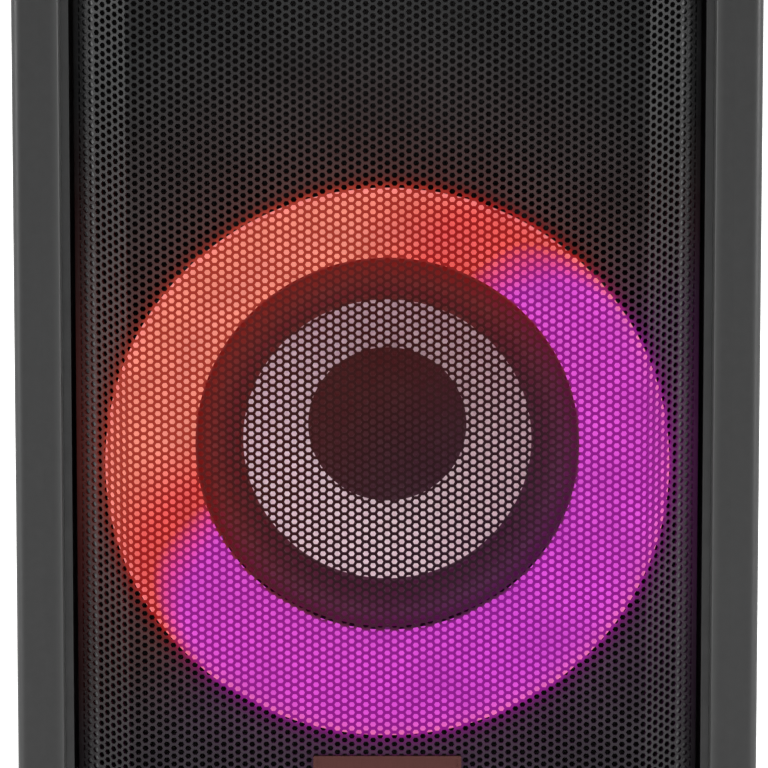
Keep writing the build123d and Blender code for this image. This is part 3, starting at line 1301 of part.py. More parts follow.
MAINS_LEAD = [
    (MAINS_X, SHELL_REAR_Y - MAINS_BODY[1], MAINS_Z),
    (MAINS_X, 90, MAINS_Z),
    (82, 52, 66),
    (62, 12, 52),
    (36, -20, 47),
    (0, -34, 47),
    (-36, -34, 47),
]


def speaker_leads():
    tweeter = lead(TWEETER_LEAD, LEAD_R)
    return Compound([lead(WOOFER_LEAD, LEAD_R), tweeter, mirrored(tweeter)])


def board_leads():
    """Ring light, panel, battery, supply and mains leads."""
    runs = (RING_LEAD, PANEL_LEAD, BATTERY_LEAD, SUPPLY_LEAD, MAINS_LEAD)
    return Compound([lead(points, LEAD_R) for points in runs])


def case_screws():
    screws = [screw_y(x, z, BAFFLE_FRONT_Y, 1) for x, z in baffle_screw_places()]
    flange_y = SHELL_REAR_Y + IO_FLANGE_THICKNESS - 1.2
    screws += [screw_y(x, z, flange_y, -1, 10) for x, z in io_screw_places()]
    screws += [screw_y(x, z, SHELL_REAR_Y + 0.8, -1, 10) for x, z in battery_screw_places()]
    for x, y in foot_places():
        screw = rod_z(x, y, SCREW_HEAD_R, 1.0, 3.0) + rod_z(x, y, SCREW_R, 3.0, FOOT_HEIGHT + 12)
        screws.append(screw)
    return Compound(screws)


# ---------------------------------------------------------------- write the parts

PARTS = {
    "cabinet_shell": cabinet_shell,
    "rear_panel": rear_panel,
    "front_baffle": front_baffle,
    "right_column": right_column,
    "left_column": lambda: mirrored(right_column()),
    "top_cap": top_cap,
    "handle_bar": handle_bar,
    "base_tray": base_tray,
    "rubber_feet": rubber_feet,
    "pole_socket": pole_socket,
    "front_grille": front_grille,
    "grille_frame": grille_frame,
    "badge": badge,
    "woofer_basket": woofer_basket,
    "woofer_gasket": woofer_gasket,
    "woofer_surround": woofer_surround,
    "woofer_cone": woofer_cone,
    "woofer_dust_cap": woofer_dust_cap,
    "woofer_voice_coil": woofer_voice_coil,
    "woofer_spider": woofer_spider,
    "woofer_top_plate": woofer_top_plate,
    "woofer_magnet": woofer_magnet,
    "woofer_yoke": woofer_yoke,
    "woofer_screws": woofer_screws,
    "ring_light_diffuser": ring_light_diffuser,
    "ring_light_housing": ring_light_housing,
    "ring_light_board": ring_light_board,
    "ring_light_leds": ring_light_leds,
    "tweeter_frames": lambda: Compound([tweeter_frame(-TWEETER_X), tweeter_frame(TWEETER_X)]),
    "tweeter_magnets": lambda: Compound([tweeter_magnet(-TWEETER_X), tweeter_magnet(TWEETER_X)]),
    "tweeter_left_dome": lambda: tweeter_dome(-TWEETER_X),
    "tweeter_right_dome": lambda: tweeter_dome(TWEETER_X),
    "control_panel": control_panel,
    "control_board": control_board,
    "io_panel": io_panel,
    "io_board": io_board,
    "audio_jacks": audio_jacks,
    "aux_jack": aux_jack,
    "usb_port": usb_port,
    "mic_knob": lambda: level_knob(MIC_X),
    "guitar_knob": lambda: level_knob(GUITAR_X),
    "io_door": io_door,
    "port_tube": port_tube,
    "battery_pack": battery_pack,
    "battery_door": battery_door,
    "mains_inlet": mains_inlet,
    "inlet_cover": inlet_cover,
    "amplifier_board": amplifier_board,
    "amplifier_heatsink": amplifier_heatsink,
    "power_supply": power_supply,
    "speaker_leads": speaker_leads,
    "board_leads": board_leads,
    "case_screws": case_screws,
}

os.makedirs("parts", exist_ok=True)
for node, make in PARTS.items():
    export_step(make(), f"parts/{node}.step")
for name, place in BUTTONS.items():
    export_step(push_button(*place), f"parts/{name}_button.step")
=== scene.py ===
import math

import bpy
import numpy as np
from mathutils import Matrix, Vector


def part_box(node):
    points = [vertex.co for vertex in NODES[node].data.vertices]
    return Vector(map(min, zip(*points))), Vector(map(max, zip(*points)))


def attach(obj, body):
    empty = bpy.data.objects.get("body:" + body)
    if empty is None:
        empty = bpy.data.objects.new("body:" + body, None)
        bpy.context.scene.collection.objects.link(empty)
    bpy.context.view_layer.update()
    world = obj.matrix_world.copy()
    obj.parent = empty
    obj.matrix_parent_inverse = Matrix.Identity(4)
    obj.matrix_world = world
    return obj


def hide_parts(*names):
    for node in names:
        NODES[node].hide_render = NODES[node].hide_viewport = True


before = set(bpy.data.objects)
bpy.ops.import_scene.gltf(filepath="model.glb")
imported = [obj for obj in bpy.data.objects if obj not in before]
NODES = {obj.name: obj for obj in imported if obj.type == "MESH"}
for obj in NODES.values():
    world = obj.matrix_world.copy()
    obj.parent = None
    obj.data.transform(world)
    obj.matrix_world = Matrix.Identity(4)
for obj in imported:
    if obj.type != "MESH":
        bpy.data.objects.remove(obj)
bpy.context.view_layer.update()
MM = 0.001

# ---------------------------------------------------------------- places read from the frame

GRILLE_LOW, GRILLE_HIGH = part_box("front_grille")
RING_LOW, RING_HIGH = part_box("ring_light_diffuser")
WOOFER_Z = (RING_LOW.z + RING_HIGH.z) / 2
RING_OUTER_R = (RING_HIGH.x - RING_LOW.x) / 2
RING_INNER_R = 75.5 * MM
CABINET = "cabinet"

# ---------------------------------------------------------------- node materials


class Shader:
    """A Principled material with short calls for the node chains that the surfaces share."""

    def __init__(self, name):
        self.material = bpy.data.materials.new(name)
        self.material.use_nodes = True
        self.tree = self.material.node_tree
        self.bsdf = self.tree.nodes["Principled BSDF"]
        self.coords = self.add("ShaderNodeTexCoord")

    def add(self, kind, **settings):
        node = self.tree.nodes.new(kind)
        for key, value in settings.items():
            setattr(node, key, value)
        return node

    def link(self, source, target):
        self.tree.links.new(source, target)

    def put(self, **values):
        """Constant inputs of the Principled node, set on its own sockets."""
        for key, value in values.items():
            socket = self.bsdf.inputs[key.replace("_", " ")]
            socket.default_value = value
        return self

    def split(self):
        """Object coordinates as separate x, y and z."""
        node = self.add("ShaderNodeSeparateXYZ")
        self.link(self.coords.outputs["Object"], node.inputs["Vector"])
        return node.outputs

    def weave(self, scale, distortion=0.0):
        """Height of crossed threads that run along x and z."""
        heights = []
        for direction in "XZ":
            wave = self.add("ShaderNodeTexWave", bands_direction=direction)
            wave.inputs["Scale"].default_value = scale
            wave.inputs["Distortion"].default_value = distortion
            self.link(self.coords.outputs["Object"], wave.inputs["Vector"])
            heights.append(wave.outputs["Fac"])
        return self.math("MULTIPLY", *heights)

    def glow(self, color, strength=1.0):
        """Light given off by the surface itself."""
        self.link(color, self.bsdf.inputs["Emission Color"])
        return self.put(Emission_Strength=strength)

    def scaled(self, scale):
        """Object coordinates stretched by a number or by (x, y, z)."""
        mapping = self.add("ShaderNodeMapping")
        mapping.inputs["Scale"].default_value = (scale,) * 3 if isinstance(scale, (int, float)) else scale
        self.link(self.coords.outputs["Object"], mapping.inputs["Vector"])
        return mapping.outputs["Vector"]

    def noise(self, scale, detail=3.0, rough=0.55, stretch=1.0):
        node = self.add("ShaderNodeTexNoise")
        node.inputs["Scale"].default_value = scale
        node.inputs["Detail"].default_value = detail
        node.inputs["Roughness"].default_value = rough
        self.link(self.scaled(stretch), node.inputs["Vector"])
        return node.outputs["Fac"]

    def cells(self, scale, feature="F1", stretch=1.0):
        node = self.add("ShaderNodeTexVoronoi", feature=feature)
        node.inputs["Scale"].default_value = scale
        self.link(self.scaled(stretch), node.inputs["Vector"])
        return node.outputs["Distance"]

    def math(self, operation, a, b=None, clamp=False):
        node = self.add("ShaderNodeMath", operation=operation, use_clamp=clamp)
        for index, value in enumerate((a, b)):
            if value is None:
                continue
            if isinstance(value, (int, float)):
                node.inputs[index].default_value = value
            else:
                self.link(value, node.inputs[index])
        return node.outputs[0]

    def remap(self, value, low, high, to_low, to_high, clamp=True):
        node = self.add("ShaderNodeMapRange", clamp=clamp)
        for key, number in (("From Min", low), ("From Max", high), ("To Min", to_low), ("To Max", to_high)):
            node.inputs[key].default_value = number
        self.link(value, node.inputs["Value"])
        return node.outputs["Result"]

    def ramp(self, value, stops, interpolation="LINEAR"):
        """stops: (position, (r, g, b)) in rising order."""
        node = self.add("ShaderNodeValToRGB")
        node.color_ramp.interpolation = interpolation
        elements = node.color_ramp.elements
        while len(elements) < len(stops):
            elements.new(0.5)
        for element, (position, color) in zip(elements, stops):
            element.position = position
            element.color = (*color, 1.0)
        self.link(value, node.inputs["Fac"])
        return node.outputs["Color"]

    def curve(self, value, points):
        """A value read off straight lines between (position, height) points."""
        low, high = points[0][0], points[-1][0]
        stops = [((place - low) / (high - low), (height,) * 3) for place, height in points]
        return self.ramp(self.remap(value, low, high, 0.0, 1.0), stops)

    def mix(self, factor, a, b, blend="MIX"):
        node = self.add("ShaderNodeMix", data_type="RGBA", blend_type=blend)
        if isinstance(factor, (int, float)):
            node.inputs["Factor"].default_value = factor
        else:
            self.link(factor, node.inputs["Factor"])
        for socket, value in ((node.inputs[6], a), (node.inputs[7], b)):
            if isinstance(value, tuple):
                socket.default_value = (*value, 1.0)
            else:
                self.link(value, socket)
        return node.outputs[2]

    def color(self, value):
        self.link(value, self.bsdf.inputs["Base Color"])
        return self

    def rough(self, value):
        self.link(value, self.bsdf.inputs["Roughness"])
        return self

    def bump(self, height, distance, strength=1.0):
        node = self.add("ShaderNodeBump")
        node.inputs["Distance"].default_value = distance
        node.inputs["Strength"].default_value = strength
        self.link(height, node.inputs["Height"])
        self.link(node.outputs["Normal"], self.bsdf.inputs["Normal"])
        return self


BLACK = (0.0, 0.0, 0.0)
CLOUDY_WHITE = [(0.3, (0.8, 0.8, 0.8)), (0.7, (1.0, 1.0, 1.0))]


def tint(color, factor):
    return tuple(min(1.0, channel * factor) for channel in color)


def moulded_plastic(name, color, rough, grain=900.0, depth=0.00006, spread=0.16, **fixed):
    """Moulded plastic: fine spark-eroded grain, slight mottling and uneven gloss."""
    s = Shader(name)
    fleck = s.noise(260.0, 4.0)
    s.color(s.ramp(fleck, [(0.3, tint(color, 1 - spread)), (0.7, tint(color, 1 + spread))]))
    s.rough(s.remap(s.noise(90.0, 3.0), 0.3, 0.7, rough - 0.05, rough + 0.06))
    s.bump(s.noise(grain, 2.0), depth, 0.6)
    return s.put(**fixed).material


def coated_steel(name, color, rough, **fixed):
    """Powder-coated sheet: orange-peel relief and a slightly cloudy gloss."""
    s = Shader(name)
    s.color(s.ramp(s.noise(30.0, 3.0), [(0.3, tint(color, 0.82)), (0.7, tint(color, 1.2))]))
    s.rough(s.remap(s.noise(220.0, 2.0), 0.3, 0.7, rough - 0.06, rough + 0.08))
    s.bump(s.noise(1500.0, 1.0), 0.00003, 0.5)
    return s.put(**fixed).material


def brushed_metal(name, color, rough, stretch=(1.0, 60.0, 1.0), **fixed):
    s = Shader(name)
    lines = s.noise(160.0, 3.0, 0.6, stretch)
    s.color(s.ramp(lines, [(0.3, tint(color, 0.8)), (0.7, tint(color, 1.15))]))
    s.rough(s.remap(lines, 0.3, 0.7, rough - 0.08, rough + 0.1))
    s.bump(lines, 0.00003, 0.5)
    return s.put(Metallic=1.0, **fixed).material


def soft_rubber(name, color, rough=0.75, **fixed):
    s = Shader(name)
    s.color(s.ramp(s.noise(60.0, 5.0), [(0.3, tint(color, 0.75)), (0.72, tint(color, 1.35))]))
    s.rough(s.remap(s.noise(300.0, 2.0), 0.3, 0.7, rough - 0.08, rough + 0.08))
    s.bump(s.noise(1400.0, 2.0), 0.00005, 0.7)
    return s.put(**fixed).material


def woven(name, color, scale, rough=0.8, depth=0.00015, **fixed):
    """Crossed threads, for cloth and woven cone sheet."""
    s = Shader(name)
    weave = s.weave(scale, 0.4)
    s.color(s.ramp(weave, [(0.0, tint(color, 0.72)), (0.6, tint(color, 1.12))]))
    s.rough(s.remap(s.noise(80.0), 0.3, 0.7, rough - 0.06, rough + 0.06))
    s.bump(weave, depth, 0.8)
    return s.put(**fixed).material


# painted highlight on the pillar by distance from the middle plane, brightest at its inner bevel
COLUMN_PAINTED_HIGHLIGHT = [
    (0.1255, 0.0), (0.1260, 0.0), (0.1262, 1.0), (0.1272, 0.8), (0.1286, 0.25), (0.1300, 0.0),
]


def column_plastic():
    """Satin plastic of the front pillars, with a painted highlight along the inner bevel."""
    s = Shader("column_plastic")
    grey = s.ramp(s.noise(260.0, 4.0), [(0.3, (0.0056, 0.0058, 0.0058)), (0.7, (0.0078, 0.0080, 0.0080))])
    # painted highlight: the pillar's base colour paler along its inner bevel
    bevel = s.curve(s.math("ABSOLUTE", s.split()["X"]), COLUMN_PAINTED_HIGHLIGHT)
    s.color(s.mix(bevel, grey, (0.021, 0.0214, 0.021)))
    s.rough(s.remap(s.noise(90.0, 3.0), 0.3, 0.7, 0.35, 0.46))
    s.bump(s.noise(700.0, 2.0), 0.00003, 0.6)
    return s.put(Specular_IOR_Level=0.29).material


def circuit_board(name):
    """Green lacquered board with copper tracks under the lacquer."""
    s = Shader(name)
    cells = s.cells(90.0, "DISTANCE_TO_EDGE")
    tracks = s.math("LESS_THAN", cells, 0.05)
    base = s.ramp(s.noise(40.0), [(0.3, (0.008, 0.06, 0.022)), (0.7, (0.014, 0.10, 0.04))])
    s.color(s.mix(tracks, base, (0.05, 0.22, 0.08)))
    s.rough(s.remap(s.noise(200.0), 0.3, 0.7, 0.25, 0.42))
    s.bump(cells, 0.00005, 0.3)
    return s.material


# ---------------------------------------------------------------- ring light colours


def around_woofer(s, lip_rise=0.0, rim_rise=0.0):
    """Angle about the woofer's axis as 0..1 from +X, radius, and radius as 0..1 from lip to rim.

    The rises lift the circles' middle, for a sheet that hangs in front of the ring.
    """
    place = s.split()
    x = place["X"]
    z = s.math("SUBTRACT", place["Z"], WOOFER_Z + lip_rise)

    def measure(z):
        squares = s.math("ADD", s.math("MULTIPLY", x, x), s.math("MULTIPLY", z, z))
        radius = s.math("SQRT", squares)
        return radius, s.remap(radius, RING_INNER_R, RING_OUTER_R, 0.0, 1.0, clamp=False)

    radius, share = measure(z)
    if lip_rise != rim_rise:
        z = s.math("ADD", z, s.remap(share, 0.0, 1.0, 0.0, lip_rise - rim_rise))
        radius, share = measure(z)
    angle = s.math("ARCTAN2", z, x)
    turn = s.math("FRACT", s.math("ADD", s.math("DIVIDE", angle, 2 * math.pi), 1.0))
    return turn, radius, share


WARM_MIDDLE = 127.0 / 360.0


def ring_turn(s, turn, share):
    """Turn about the middle of the warm arc, which grows wider towards the rim."""
    offset = s.math("SUBTRACT", turn, WARM_MIDDLE)
    wrapped = s.math("SUBTRACT", s.math("FRACT", s.math("ADD", offset, 1.5)), 0.5)
    held = s.remap(share, 0.0, 1.0, 0.0, 1.0)
    rim = s.math("POWER", held, 6.0)
    wide = s.math("ADD", s.math("MULTIPLY", held, 0.10), s.math("MULTIPLY", rim, 0.20))
    narrowed = s.math("DIVIDE", wrapped, s.math("ADD", wide, 1.0))
    return s.math("ADD", narrowed, 0.5)


def arc_stops(salmon, red, pink, magenta, violet):
    """Colour stops along the turn, 0.5 being the middle of the warm arc."""
    def at(degrees):
        return 0.5 + degrees / 360.0

    return [
        (0.0, violet), (at(-110), magenta), (at(-75), magenta), (at(-69), pink), (at(-62), red),
        (at(-48), red), (at(-26), salmon), (at(49), salmon), (at(65), red), (at(71), red),
        (at(76), pink), (at(82), magenta), (at(112), magenta), (1.0, violet),
    ]


RING_DOTS = dict(
    salmon=(0.86, 0.265, 0.19), red=(0.80, 0.10, 0.085), pink=(0.77, 0.07, 0.33),
    magenta=(0.70, 0.078, 0.62), violet=(0.66, 0.066, 0.66),
)
RING_SPILL = dict(
    salmon=(0.36, 0.030, 0.016), red=(0.31, 0.004, 0.004), pink=(0.29, 0.003, 0.11),
    magenta=(0.27, 0.003, 0.235), violet=(0.25, 0.003, 0.26),
)

# the same light inside the ring, warm at the upper left and violet at the lower right
INNER_SPILL = [
    (0.0, (0.36, 0.016, 0.012)), (0.35, (0.33, 0.012, 0.012)), (0.62, (0.20, 0.012, 0.055)),
    (1.0, (0.135, 0.010, 0.115)),
]
COOL_TURN = math.radians(-52)
COOL_DIRECTION = (math.cos(COOL_TURN), math.sin(COOL_TURN))


def inner_painted_light(s):
    """Painted light colour inside the ring, along a line from the warm side to the cool one."""
    place = s.split()
    across = s.math("MULTIPLY", place["X"], COOL_DIRECTION[0])
    up = s.math("MULTIPLY", s.math("SUBTRACT", place["Z"], WOOFER_Z), COOL_DIRECTION[1])
    along = s.math("ADD", across, up)
    return s.ramp(s.remap(along, -RING_INNER_R, RING_INNER_R, 0.0, 1.0), INNER_SPILL)


# how far the ring's circles seem raised on the sheet in front of them
LIP_RISE = 10.3 * MM
RIM_RISE = 2.7 * MM
# light on the sheet by radius, 0 at the ring's lip and 1 at its rim
SPILL_BY_SHARE = [
    (-2.2, 0.07), (-0.5, 0.11), (-0.05, 0.30), (0.0, 1.0), (1.0, 1.0), (1.03, 0.45),
    (1.15, 0.16), (1.35, 0.085), (1.8, 0.035), (2.6, 0.008), (3.2, 0.0),
]


def ring_light():
    """Lit diffuser: two-tone light round the ring, with a paler salmon line at the rim that is a painted
    reflection of the warm arc.
    """
    s = Shader("ring_light_glow")
    turn, _, share = around_woofer(s)
    tone = s.ramp(ring_turn(s, turn, share), arc_stops(**RING_DOTS))
    # painted reflection: a paler salmon line along the rim
    rim_reflection = s.math("POWER", s.remap(share, 0.0, 1.0, 0.0, 1.0), 14.0)
    lit = s.mix(s.math("MULTIPLY", rim_reflection, 0.6), tone, (0.95, 0.24, 0.26))
    lit = s.mix(1.0, lit, s.ramp(s.noise(55.0, 2.0), CLOUDY_WHITE), "MULTIPLY")
    s.color(s.mix(0.35, (0.02, 0.02, 0.02), lit))
    s.rough(s.remap(s.noise(200.0), 0.3, 0.7, 0.3, 0.45))
    s.bump(s.noise(600.0, 2.0), 0.00004, 0.4)
    return s.glow(lit).material


def lit_rubber():
    """Dark rubber roll, with the ring's light on it painted in as glow."""
    s = Shader("surround_rubber")
    _, _, share = around_woofer(s)
    s.color(s.ramp(s.noise(60.0, 5.0), [(0.3, (0.012, 0.008, 0.009)), (0.72, (0.022, 0.015, 0.017))]))
    s.rough(s.remap(s.noise(300.0, 2.0), 0.3, 0.7, 0.5, 0.66))
    s.bump(s.noise(1400.0, 2.0), 0.00005, 0.7)
    # painted light: the ring's glow on the rubber, stronger towards the lip
    near = s.remap(share, -0.5, 0.0, 0.30, 0.50)
    return s.glow(s.mix(near, BLACK, inner_painted_light(s))).material


def lit_cloth():
    """Dark woven dust cap, with the ring's light painted in as glow, warm above and violet below."""
    s = Shader("dust_cap_cloth")
    weave = s.weave(260.0)
    s.color(s.ramp(weave, [(0.0, (0.014, 0.010, 0.011)), (0.6, (0.03, 0.022, 0.023))]))
    s.rough(s.remap(s.noise(80.0), 0.3, 0.7, 0.7, 0.85))
    s.bump(weave, 0.00015, 0.8)
    # painted light: the ring's glow on the cap
    return s.glow(s.mix(0.14, BLACK, inner_painted_light(s))).material


PALE_TURN = 250.0 / 360.0
CONE_GLOW = [(0.0, (0.08, 0.04, 0.04)), (0.5, (0.24, 0.16, 0.18)), (1.0, (0.40, 0.31, 0.34))]


def woofer_paper():
    """Pale pressed paper: fibres, pressed rings, and the glow that the ring throws on it."""
    s = Shader("cone_paper")
    turn, radius, _ = around_woofer(s)
    fibres = s.noise(420.0, 4.0, 0.6, (1.0, 1.0, 2.2))
    s.color(s.ramp(fibres, [(0.3, (0.55, 0.52, 0.53)), (0.7, (0.76, 0.73, 0.73))]))
    s.rough(s.remap(s.noise(200.0), 0.3, 0.7, 0.55, 0.7))
    rings = s.math("SINE", s.math("MULTIPLY", radius, 1400.0))
    s.bump(s.math("ADD", s.math("MULTIPLY", rings, 0.5), fibres), 0.0002, 0.5)
    # paler towards the lower left, where the ring throws most light
    off_pale = s.math("MULTIPLY", s.math("SUBTRACT", turn, PALE_TURN), 2 * math.pi)
    share = s.remap(s.math("COSINE", off_pale), -1.0, 1.0, 0.0, 1.0)
    glow = s.ramp(share, CONE_GLOW)
    return s.glow(s.mix(1.0, glow, s.ramp(fibres, CLOUDY_WHITE), "MULTIPLY")).material


def grille_paint():
    """Black coated steel; near the ring the light that spills on the web is painted in as glow, and in
    front of the ring the web is painted darker and less glossy as shade.
    """
    s = Shader("grille_paint")
    turn, _, share = around_woofer(s, LIP_RISE, RIM_RISE)
    # painted shade: the web in front of the ring darker and less glossy
    shaded = s.remap(share, 1.0, 1.2, 1.0, 0.0)
    paint = s.ramp(s.noise(30.0, 3.0), [(0.3, (0.005, 0.005, 0.0052)), (0.7, (0.009, 0.009, 0.0092))])
    s.color(s.mix(s.math("MULTIPLY", shaded, 0.7), paint, BLACK))
    s.link(s.remap(shaded, 0.0, 1.0, 0.125, 0.035), s.bsdf.inputs["Specular IOR Level"])
    s.rough(s.remap(s.noise(220.0, 2.0), 0.3, 0.7, 0.36, 0.48))
    # painted light: the ring's spill on the web, by radius
    ring_tone = s.ramp(ring_turn(s, turn, share), arc_stops(**RING_SPILL))
    tone = s.mix(s.remap(share, -0.03, 0.0, 0.0, 1.0), inner_painted_light(s), ring_tone)
    amount = s.curve(share, SPILL_BY_SHARE)
    return s.glow(s.mix(amount, BLACK, tone)).material


# ---------------------------------------------------------------- perforated grille

HOLE_PITCH = 3.217 * MM
HOLE_FLATS = 2.2 * MM
FACET_ANGLE = math.radians(32.0)
SHEET = 1.0 * MM
BEND_WIDTH = 4.0 * MM
HEM = 2.0 * MM
BANDS = 3


class BentLine:
    """The grille's plan line: distance along the sheet to place and inward direction."""

    def __init__(self):
        facet_depth = GRILLE_HIGH.y - GRILLE_LOW.y - SHEET * math.cos(FACET_ANGLE)
        facet = facet_depth / math.sin(FACET_ANGLE)
        flat_half = GRILLE_HIGH.x - facet * math.cos(FACET_ANGLE)
        self.half = flat_half + facet
        self.u = np.linspace(0.0, self.half, 2000)
        bend = np.clip((self.u - flat_half) / BEND_WIDTH + 0.5, 0.0, 1.0)
        self.angle = FACET_ANGLE * bend * bend * (3 - 2 * bend)
        step = self.u[1] - self.u[0]
        self.x = np.concatenate(([0.0], np.cumsum(np.cos(self.angle[1:]) * step)))
        self.y = GRILLE_LOW.y + np.concatenate(([0.0], np.cumsum(np.sin(self.angle[1:]) * step)))

    def place(self, u, depth):
        """Points (x, y) at signed distances u, moved inward by depth."""
        size = np.abs(u)
        sign = np.where(u < 0, -1.0, 1.0)
        angle = np.interp(size, self.u, self.angle)
        x = np.interp(size, self.u, self.x) - np.sin(angle) * depth
        y = np.interp(size, self.u, self.y) + np.cos(angle) * depth
        return x * sign, y


def mesh_object(name, vertices, faces, material, smooth=False):
    mesh = bpy.data.meshes.new(name)
    mesh.from_pydata([tuple(v) for v in vertices], [], [tuple(int(i) for i in f) for f in faces])
    mesh.validate()
    obj = bpy.data.objects.new(name, mesh)
    bpy.context.scene.collection.objects.link(obj)
    mesh.materials.append(material)
    mesh.polygons.foreach_set("use_smooth", [smooth] * len(mesh.polygons))
    return obj


def joined(runs):
    """Vertices and faces of several pieces as one."""
    vertices, faces = [], []
    for more, sides in runs:
        faces += [tuple(i + len(vertices) for i in side) for side in sides]
        vertices += more
    return vertices, faces


def own_piece(name, mesh, body, material):
    """An own piece that rides a body; mesh is (vertices, faces)."""
    obj = mesh_object(name, *mesh, material)
    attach(obj, body)
    return obj


def own_uv(obj):
    """A plain front projection of the piece, kept for the export's bake."""
    mesh = obj.data
    layer = mesh.uv_layers.new(name="OFBake")
    corners = np.zeros(len(mesh.loops), np.int32)
    mesh.loops.foreach_get("vertex_index", corners)
    places = np.zeros(len(mesh.vertices) * 3, np.float32)
    mesh.vertices.foreach_get("co", places)
    flat = places.reshape(-1, 3)[:, (0, 2)]
    low, high = flat.min(0), flat.max(0)
    layer.data.foreach_set("uv", (((flat - low) / (high - low))[corners]).astype(np.float32).ravel())


def perforated_band(line, rows, columns, name, material):
    """Hexagonal cells, each with a hexagonal hole: front, back and hole walls."""
    step = HOLE_PITCH * math.cos(math.radians(30))
    corner = np.radians(np.arange(6) * 60.0)
    cell_r, hole_r = HOLE_PITCH / math.sqrt(3), HOLE_FLATS / math.sqrt(3)
    middle_z = (GRILLE_LOW.z + GRILLE_HIGH.z) / 2
    centres = np.array([
        (i * step, middle_z + (j + 0.5 * (i % 2)) * HOLE_PITCH) for i in columns for j in rows
    ])
    rings = []
    for radius in (cell_r, hole_r):
        u = centres[:, :1] + radius * np.cos(corner)
        z = centres[:, 1:] + radius * np.sin(corner)
        rings.append((np.clip(u, -line.half, line.half), np.clip(z, GRILLE_LOW.z, GRILLE_HIGH.z)))
    vertices, count = [], len(centres) * 6
    for depth in (0.0, SHEET):
        for u, z in rings:
            x, y = line.place(u.ravel(), depth)
            vertices.append(np.stack((x, y, z.ravel()), axis=1))
    vertices = np.concatenate(vertices)
    base = np.arange(len(centres))[:, None] * 6
    k, k1 = np.arange(6), (np.arange(6) + 1) % 6
    cell, hole, cell_back, hole_back = 0, count, 2 * count, 3 * count
    here, there = base + k, base + k1
    front = np.stack((cell + here, cell + there, hole + there, hole + here), axis=2)
    back = np.stack((cell_back + there, cell_back + here, hole_back + here, hole_back + there), axis=2)
    wall = np.stack((hole + here, hole + there, hole_back + there, hole_back + here), axis=2)
    faces = np.concatenate([part.reshape(-1, 4) for part in (front, back, wall)])
    # neighbours share their corners
    keys = np.round(vertices / 1e-6).astype(np.int64)
    _, first, index = np.unique(keys, axis=0, return_index=True, return_inverse=True)
    mesh = vertices[first], index.reshape(-1)[faces]
    obj = own_piece(name, mesh, CABINET, material)
    own_uv(obj)
    return obj


def strip(sections):
    """Quads between successive cross-sections of as many points each, with both ends closed."""
    n, last = len(sections[0]), len(sections) - 1
    vertices = [p for section in sections for p in section]
    faces = []
    for i in range(last):
        a, b = i * n, (i + 1) * n
        for k in range(n):
            k1 = (k + 1) % n
            faces.append((a + k, a + k1, b + k1, b + k))
    faces.append(tuple(range(n))[::-1])
    faces.append(tuple(last * n + k for k in range(n)))
    return vertices, faces


def grille_hem(line, material):
    """Folded border all round the perforated sheet."""
    proud = 0.15 * MM
    sections = []
    for z0, z1 in ((GRILLE_LOW.z, GRILLE_LOW.z + HEM), (GRILLE_HIGH.z - HEM, GRILLE_HIGH.z)):
        run = []
        for u in np.linspace(-line.half, line.half, 161):
            places = [line.place(np.array([u]), depth) for depth in (-proud, SHEET + proud)]
            (xa, ya), (xb, yb) = [(float(x[0]), float(y[0])) for x, y in places]
            run.append([(xa, ya, z0), (xa, ya, z1), (xb, yb, z1), (xb, yb, z0)])
        sections.append(run)
    front, back = -proud, SHEET + proud
    inner, outer = line.half - HEM, line.half
    for sign in (-1, 1):
        corners = []
        for u, depth in ((inner, front), (outer, front), (outer, back), (inner, back)):
            x, y = line.place(np.array([sign * u]), depth)
            corners.append((float(x[0]), float(y[0])))
        sections.append([[(x, y, z) for x, y in corners] for z in (GRILLE_LOW.z, GRILLE_HIGH.z)])
    own_piece("grille_hem", joined(strip(run) for run in sections), CABINET, material)


def perforated_grille():
    material = grille_paint()
    line = BentLine()
    step = HOLE_PITCH * math.cos(math.radians(30))
    side = int((line.half - HEM * 0.5) / step)
    reach = int(((GRILLE_HIGH.z - GRILLE_LOW.z) / 2 - HEM * 0.5) / HOLE_PITCH)
    columns = range(-side, side + 1)
    rows = np.array_split(np.arange(-reach, reach), BANDS)
    bands = [
        perforated_band(line, band, columns, f"grille_band_{i + 1}", material)
        for i, band in enumerate(rows)
    ]
    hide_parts("front_grille")
    grille_hem(line, material)


# ---------------------------------------------------------------- materials of the CAD nodes

